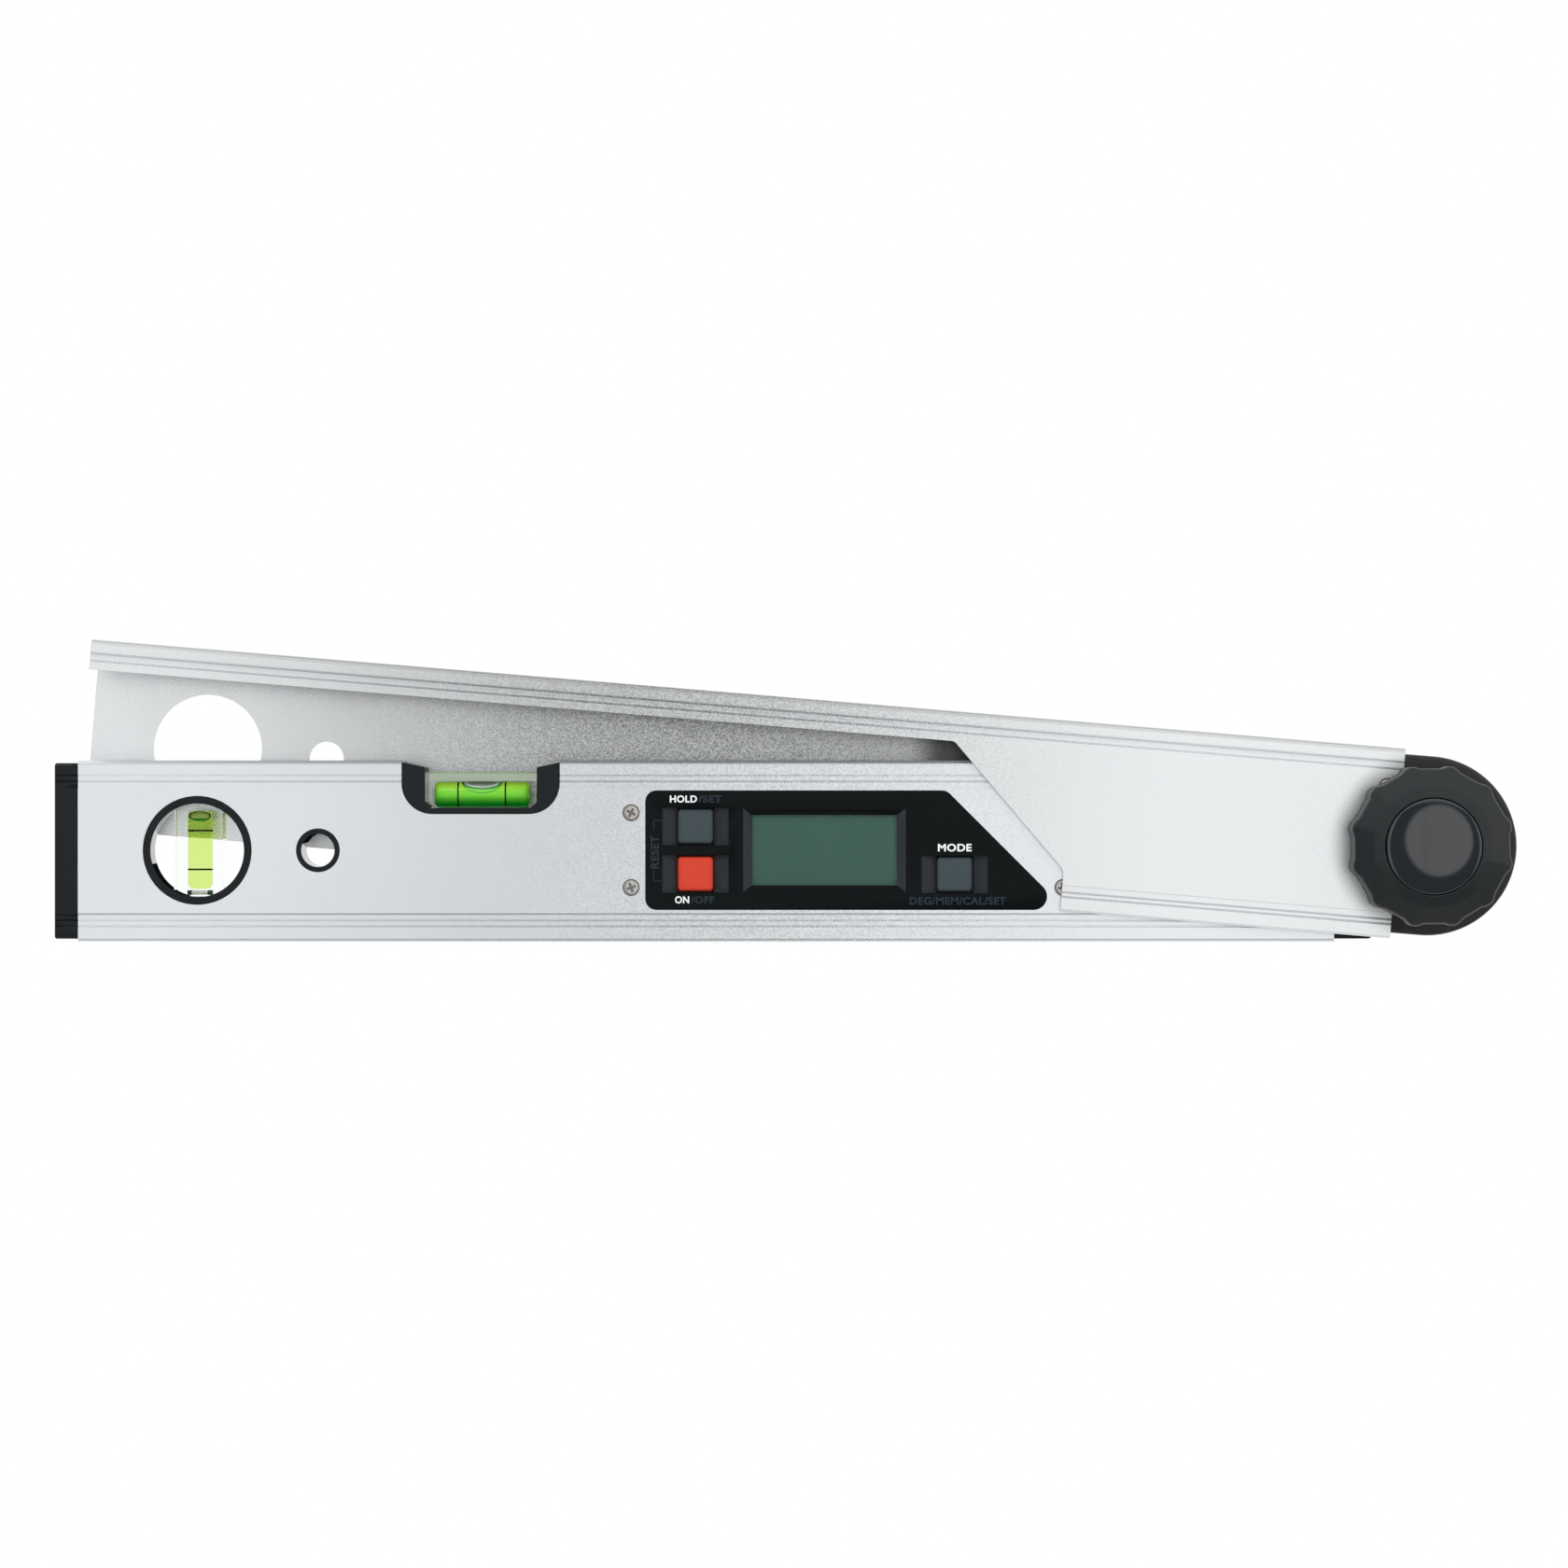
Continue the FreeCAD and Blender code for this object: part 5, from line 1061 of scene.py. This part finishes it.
# half width and drop in mm of each nested oval of the bubble, and its finish
bubbleOvals = [
    ((6.10, 3.25), "bottleGreen"), ((5.97, 3.07), "limeGreen"), ((6.02, 2.06), "bottleGreen"),
    ((5.50, 1.66), "bubbleGleam"), ((4.30, 1.15), "bubbleGrey"),
]


def makeLevelVial():
    shape = level
    low, high = boxOf("level_vial_fluid")
    middle = (low + high) / 2
    half = high.x - middle.x - shape["inset"]
    # a painted highlight: a pale line where the fluid meets the floor of its bore
    shine = roundedBlock(
        about(middle.x, 2 * (half - shape["shineInset"])), shape["shineDepth"],
        [low.z + rise for rise in shape["shineRise"]], shape["shineRound"], "level_floor_shine",
    )
    addToBase(shine, "paleGlint")

    radius = shape["radius"]
    outline = rodOutline(radius, half, shape["endRound"], shape["endRound"])
    fluid = revolve(outline, steps=96, name="level_fluid")
    place = Matrix.Translation((middle.x * mm, 0, middle.z * mm))
    fluid.data.transform(place @ Matrix.Rotation(math.radians(-90), 4, "Z"))
    smooth(fluid, angle=50)
    standIn(fluid, "level_vial_fluid", "levelFluid")

    # a painted glint of pale glass round each end, and a painted shadow line inside it
    wide, tall, thin = shape["glint"]
    wire = shape["glintWire"]
    for finish, inset, depth in (("paleGlint", 0, -1.0), ("deepGreen", shape["shadowLine"], -0.5)):
        glints = []
        for side in (1, -1):
            x = middle.x + side * (half - wide + shape["glintReach"])
            glints.append(ovalRing(
                wide - inset, tall - inset * shape["shadowRise"], wire, thin / wire,
                (x, depth, middle.z), (72, 10),
            ))
        rims = joinPieces(glints, "level_glint_" + finish)
        smooth(rims, angle=60)
        addToBase(rims, finish)

    # the bubble's painted gleam and shade: nested ovals cut from rods that stand a hair proud of
    # the fluid
    for index, ((wide, drop), finish) in enumerate(bubbleOvals):
        deselectAll()
        bpy.ops.mesh.primitive_cylinder_add(
            vertices=128, radius=(radius + (index + 1) * shape["step"]) * mm,
            depth=shape["ovalRod"] * mm, rotation=(0, math.radians(90), 0),
            location=(middle.x * mm, 0, middle.z * mm),
        )
        rod = settle(bpy.context.object)
        bpy.ops.mesh.primitive_cylinder_add(
            vertices=96, radius=1, depth=shape["ovalCutter"] * mm, rotation=(math.radians(90), 0, 0)
        )
        oval = settle(bpy.context.object)
        oval.data.transform(Matrix.Diagonal((wide * mm, 1, drop * mm, 1)))
        oval.data.transform(Matrix.Translation((middle.x * mm, 0, high.z * mm)))
        applyModifier(rod, "BOOLEAN", operation="INTERSECT", solver="EXACT", object=oval)
        bpy.data.objects.remove(oval)
        smooth(rod, angle=30)
        rod.name = "level_bubble_" + "abcde"[index]
        addToBase(rod, finish)

    makeVialBlock("level_vial_block", shape["blockRound"], "level_block")
    # a frosted band, glowing with painted light, behind the clear top, with a green edge along it
    low, high = boxOf("level_vial_block")
    across = (low.x + shape["bandInset"], high.x - shape["bandInset"])
    top = shape["bandTop"]
    band = roundedBlock(across, shape["bandDepth"], (shape["bandBottom"], top),
                        shape["bandRound"], "level_frosted_band")
    trim = roundedBlock(across, about(0, 2 * shape["bandDepth"][1]),
                        (top, top + shape["trimTall"]), shape["trimRound"], "level_green_edge")
    addToBase(band, "frostedPlastic")
    addToBase(trim, "edgeGreen")


makeLevelVial()
print("level vial filled")


# screws with a cross recess, in mm; the shank is at most a share of the head
screwShape = dict(headHeight=0.95, crown=0.62, shankRadius=1.4, shankShare=0.56, slotLength=2.9,
                  slotWidth=0.78, slotDepth=0.8, slotShare=0.55, rim=0.1)
# which side each set's heads look to, 1 for the back, and how far its screws are turned
screwSets = {
    "module_screws": (-1, (0.35, 1.1, 0.2, 0.8)),
    "housing_screws": (1, (0.5, 1.2)),
    "battery_door_screw": (1, (0.9,)),
    "front_cap_screws": (-1, (0.4, 1.0)),
    "rear_cap_screws": (1, (0.7, 0.1)),
}


def makeScrew(radius, length):
    shape = screwShape
    headHeight, slotDepth = shape["headHeight"], shape["slotDepth"]
    shankRadius = min(shape["shankRadius"], radius * shape["shankShare"])
    bpy.ops.mesh.primitive_cylinder_add(
        vertices=40, radius=radius * mm, depth=headHeight * mm,
        location=(0, 0, -headHeight * mm / 2), end_fill_type="NGON",
    )
    screw = settle(bpy.context.object)
    bpy.ops.object.mode_set(mode="EDIT")
    bpy.ops.mesh.select_all(action="DESELECT")
    bpy.ops.object.mode_set(mode="OBJECT")
    for face in screw.data.polygons:
        face.select = face.normal.z < -0.9
    bpy.ops.object.mode_set(mode="EDIT")
    bpy.ops.mesh.inset(thickness=(radius - shankRadius) * mm, depth=0)
    bpy.ops.mesh.extrude_region_move(
        TRANSFORM_OT_translate={"value": (0, 0, -(length - headHeight) * mm)}
    )
    bpy.ops.object.mode_set(mode="OBJECT")
    bevelEdges(screw, lambda a, b: max(abs(a.z), abs(b.z)) < tiny, shape["crown"], 4)
    arms = []
    for turn in (0, 90):
        bpy.ops.mesh.primitive_cube_add(size=1, location=(0, 0, 0))
        arm = bpy.context.object
        arm.scale = (shape["slotLength"] * mm, shape["slotWidth"] * mm, 2 * slotDepth * mm)
        arm.rotation_euler.z = math.radians(turn)
        arms.append(settle(arm))
    for arm in arms:
        applyModifier(screw, "BOOLEAN", operation="DIFFERENCE", solver="EXACT", object=arm)
        bpy.data.objects.remove(arm)
    smooth(screw, angle=30)
    # the cross recess is painted darker: painted shade
    screw.data.materials.append(material["nickelSteel"])
    screw.data.materials.append(material["recessShadeSteel"])
    reach = shape["slotLength"] * shape["slotShare"] * mm
    for face in screw.data.polygons:
        lowest = min(screw.data.vertices[v].co.z for v in face.vertices)
        near = math.hypot(face.center.x, face.center.y) < reach
        if near and -slotDepth * mm * 1.01 < lowest < -shape["rim"] * mm:
            face.material_index = 1
    return screw


def screwAt(master, place, outward, turn, name):
    twin = copyOf(master, name)
    tilt = Vector((0, 0, 1)).rotation_difference(outward).to_matrix().to_4x4()
    twin.data.transform(Matrix.Translation(place) @ tilt @ Matrix.Rotation(turn, 4, "Z"))
    return twin


# one box for each screw of a set, found by walking the welded mesh
def looseBoxes(piece):
    makeActive(copyOf(piece, "probe"))
    mergeDoubles()
    bpy.ops.mesh.separate(type="LOOSE")
    bpy.ops.object.mode_set(mode="OBJECT")
    boxes = []
    for part in list(bpy.context.selected_objects):
        corners = [v.co.copy() for v in part.data.vertices]
        low = Vector([min(c[i] for c in corners) for i in range(3)])
        high = Vector([max(c[i] for c in corners) for i in range(3)])
        boxes.append((low, high))
        bpy.data.objects.remove(part)
    return sorted(boxes, key=lambda b: (round(b[0].x, 4), round(b[0].z, 4)))


for name, (side, turns) in screwSets.items():
    boxes = looseBoxes(nodes[name])
    size = (boxes[0][1] - boxes[0][0]) / mm
    master = makeScrew(size.x / 2, size.y)
    copies = []
    for turn, (low, high) in zip(turns, boxes):
        face = low.y if side < 0 else high.y
        place = Vector(((low.x + high.x) / 2, face, (low.z + high.z) / 2))
        copies.append(screwAt(master, place, Vector((0, side, 0)), turn, name))
    bpy.data.objects.remove(master)
    standIn(joinPieces(copies, name + "_crossed"), name)
print("screws cut")

# printed words on the panel: ink, from where to where across and up in mm, and turn in degrees
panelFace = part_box("display_bezel")[0].y / mm
labels = [
    ("HOLD", "whiteInk", (-10.98, -2.75), (42.21, 44.39), 0),
    ("/SET", "dimInk", (-2.30, 4.81), (42.21, 44.39), 0),
    ("ON", "whiteInk", (-9.42, -5.10), (11.58, 13.79), 0),
    ("/OFF", "dimInk", (-4.60, 2.51), (11.58, 13.79), 0),
    ("MODE", "whiteInk", (70.41, 80.66), (27.36, 29.69), 0),
    ("DEG/MEM/CAL/SET", "dimInk", (61.80, 91.10), (11.18, 13.56), 0),
    ("RESET", "dimInk", (-16.84, -14.29), (22.21, 32.15), 90),
]
bracketLines = [
    ((-16.05, -15.80), (33.74, 36.91)), ((-16.05, -13.47), (36.66, 36.91)),
    ((-16.05, -15.80), (18.24, 21.61)), ((-16.05, -13.47), (18.24, 18.49)),
]
lettering = dict(depth=0.02, bolder=0.03, thick=0.01, spacing=1.08)


def printWord(words, finish, across, up, turn):
    deselectAll()
    bpy.ops.object.text_add(rotation=(math.radians(90), math.radians(-turn), 0))
    word = bpy.context.object
    word.data.body = words
    word.data.size = 1.0
    word.data.offset = lettering["bolder"]
    word.data.extrude = lettering["thick"]
    word.data.space_character = lettering["spacing"]
    bpy.ops.object.convert(target="MESH")
    word = settle(bpy.context.object)
    corners = [v.co for v in word.data.vertices]
    low = [min(c[i] for c in corners) for i in range(3)]
    high = [max(c[i] for c in corners) for i in range(3)]
    targets = [across, (panelFace - lettering["depth"], panelFace), up]
    for vertex in word.data.vertices:
        for i in range(3):
            share = (vertex.co[i] - low[i]) / (high[i] - low[i])
            vertex.co[i] = (targets[i][0] + share * (targets[i][1] - targets[i][0])) * mm
    dress(word, finish)
    return word


words = [printWord(*label) for label in labels]
for across, up in bracketLines:
    bar = makeBlock(across, (panelFace - lettering["depth"], panelFace), up)
    dress(bar, "dimInk")
    words.append(bar)
panelPrint = joinPieces(words, "panel_print")
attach(panelPrint, "base_arm")
print("panel printed")


# floor, light and camera, in metres
studio = dict(floorSize=8.0, floorDrop=0.0002, floorEnd=0.2, floorGlow=0.92, floorTone=0.9,
              shadowStretch=(0.6, 1.0, 0.0), shadowFrom=0.04, shadowTo=0.22, worldDiffuse=0.62)


# one for the rays that should see the plain pale setting
def seenBy(tree, *kinds):
    rays = tree.nodes.new("ShaderNodeLightPath")
    seen = rays.outputs["Is " + kinds[0] + " Ray"]
    for kind in kinds[1:]:
        seen = maths(tree, "MAXIMUM", seen, rays.outputs["Is " + kind + " Ray"])
    return seen


def makeFloor():
    bpy.ops.mesh.primitive_plane_add(
        size=studio["floorSize"], location=(0, 0, -studio["floorDrop"])
    )
    floor = settle(bpy.context.object)
    floor.name = "floor"
    # it ends short of the hinge, as at a bench's edge, so that the open arm can hang past it
    for vertex in floor.data.vertices:
        if vertex.co.x > 0:
            vertex.co.x = studio["floorEnd"]
    made = bpy.data.materials.new("paleFloor")
    made.use_nodes = True
    tree = made.node_tree
    tree.nodes.remove(tree.nodes["Principled BSDF"])
    matt = tree.nodes.new("ShaderNodeBsdfDiffuse")
    fill(tree, matt, {"Color": (*[studio["floorTone"]] * 3, 1)})
    glow = tree.nodes.new("ShaderNodeEmission")
    fill(tree, glow, {"Color": (1, 1, 1, 1), "Strength": 1.0})
    # the shadow shows only near the object
    away = vectorMaths(tree, "LENGTH", vectorMaths(
        tree, "MULTIPLY", objectPlace(tree)[0], studio["shadowStretch"]
    ))
    far = ramp(tree, away, studio["shadowFrom"], studio["shadowTo"], start=studio["floorGlow"])
    mixed = tree.nodes.new("ShaderNodeMixShader")
    seen = seenBy(tree, "Camera", "Glossy", "Transmission")
    for index, source in enumerate((product(tree, seen, far), matt.outputs[0], glow.outputs[0])):
        feed(tree, source, mixed.inputs[index])
    feed(tree, mixed.outputs[0], tree.nodes["Material Output"].inputs["Surface"])
    floor.data.materials.append(made)
    floor.visible_glossy = False


# what glossy surfaces see: white behind, and in front a dim room with a round soft box, a box
# overhead, a strip to the left, a panel to the right, a pale table below, and a gap where the
# camera stands; places are slopes sideways and upwards from straight ahead
room = dict(
    dim=0.28, ahead=0.05, behind=0.3, disc=1.22, discAt=(0.19, 0.08), discSize=(0.45, 0.47),
    discSoft=0.14, overhead=(0.66, 90.0), overheadSoft=0.12, overheadGlow=1.0,
    strip=(-0.76, -0.5), stripSoft=0.04, stripGlow=1.3, side=(0.85, 90.0), sideSoft=0.1,
    sideGlow=1.1, sideLevel=(-0.5, 0.6), levelSoft=0.15, table=(-90, -1.8), tableSoft=0.1,
    tableGlow=0.95, gapAt=-0.018, gapWide=0.05, gapSoft=0.03, gapDim=0.93,
)


# one between two limits and nought outside them, with soft edges
def between(tree, value, low, high, soft):
    rise = ramp(tree, value, low - soft, low + soft)
    fall = ramp(tree, product(tree, value, -1.0), -high - soft, -high + soft)
    return product(tree, rise, fall)


def squared(tree, value, middle, size):
    offset = maths(tree, "DIVIDE", lessFrom(tree, value, middle), size)
    return product(tree, offset, offset)


def roomGlow(tree, across, up):
    spread = maths(
        tree, "ADD", squared(tree, across, room["discAt"][0], room["discSize"][0]),
        squared(tree, up, room["discAt"][1], room["discSize"][1]),
    )
    gap = between(
        tree, across, room["gapAt"] - room["gapWide"], room["gapAt"] + room["gapWide"],
        room["gapSoft"],
    )
    disc = product(tree, between(tree, spread, -9, 1, room["discSoft"]),
                   lessFrom(tree, 1.0, product(tree, gap, 1 - room["gapDim"])))
    level = between(tree, up, *room["sideLevel"], room["levelSoft"])
    strip = product(tree, between(tree, across, *room["strip"], room["stripSoft"]), level)
    side = product(tree, between(tree, across, *room["side"], room["sideSoft"]), level)
    overhead = between(tree, up, *room["overhead"], room["overheadSoft"])
    table = between(tree, up, *room["table"], room["tableSoft"])
    total = room["dim"]
    for light, glow in ((disc, "disc"), (strip, "stripGlow"), (side, "sideGlow"),
                        (overhead, "overheadGlow"), (table, "tableGlow")):
        total = maths(tree, "ADD", product(tree, light, room[glow] - room["dim"]), total)
    return total


def makeWorld():
    world = bpy.data.worlds.new("studio")
    bpy.context.scene.world = world
    world.use_nodes = True
    world.cycles.sampling_method = "NONE"  # else its own light samples miss the glossy branch
    tree = world.node_tree
    back = tree.nodes["Background"]
    apart = tree.nodes.new("ShaderNodeSeparateXYZ")
    feed(tree, tree.nodes.new("ShaderNodeTexCoord").outputs["Generated"], apart.inputs[0])
    x, y, z = apart.outputs
    ahead = maths(tree, "MAXIMUM", product(tree, y, -1.0), room["ahead"])
    front = roomGlow(tree, maths(tree, "DIVIDE", x, ahead), maths(tree, "DIVIDE", z, ahead))
    mixed = addNode(tree, "ShaderNodeMix", data_type="FLOAT")
    for index, value in ((0, ramp(tree, y, 0.0, room["behind"])), (2, front), (3, 1.0)):
        feed(tree, value, mixed.inputs[index])
    seen = seenBy(tree, "Camera", "Transmission")
    shiny = seenBy(tree, "Glossy")
    glossy = product(tree, mixed.outputs[0], shiny)
    plain = lessFrom(tree, 1.0, maths(tree, "MAXIMUM", seen, shiny))
    lit = maths(tree, "ADD", glossy, product(tree, plain, studio["worldDiffuse"]))
    fill(tree, back, {"Color": (1, 1, 1, 1), "Strength": maths(tree, "MAXIMUM", seen, lit)})


def addLamp(name, place, target, size, power):
    deselectAll()
    bpy.ops.object.light_add(type="AREA", location=place)
    lamp = bpy.context.object
    lamp.name = name
    lamp.data.shape = "RECTANGLE"
    lamp.data.size, lamp.data.size_y = size
    lamp.data.energy = power
    aim = Vector(target) - Vector(place)
    lamp.rotation_euler = aim.to_track_quat("-Z", "Y").to_euler()
    lamp.visible_glossy = False


makeFloor()
makeWorld()
addLamp("keyLamp", place=(-0.7, -1.3, 1.3), target=(0, 0, 0.04), size=(0.9, 0.9), power=14)
addLamp("fillLamp", place=(1.1, -1.2, 0.7), target=(0.05, 0, 0.04), size=(0.8, 0.8), power=5)
addLamp("topLamp", place=(0.0, 0.1, 1.4), target=(0, 0, 0.04), size=(1.4, 0.6), power=6)

view = dict(place=(0.02368, -1.9365, 0.04785), lens=145.6, sensor=36, near=0.01, far=50)
deselectAll()
bpy.ops.object.camera_add(location=view["place"], rotation=(math.radians(90), 0, 0))
camera = bpy.context.object
camera.data.lens = view["lens"]
camera.data.sensor_width = view["sensor"]
camera.data.clip_start = view["near"]
camera.data.clip_end = view["far"]
bpy.context.scene.camera = camera
bpy.context.scene.view_settings.view_transform = "Standard"
print("studio set")
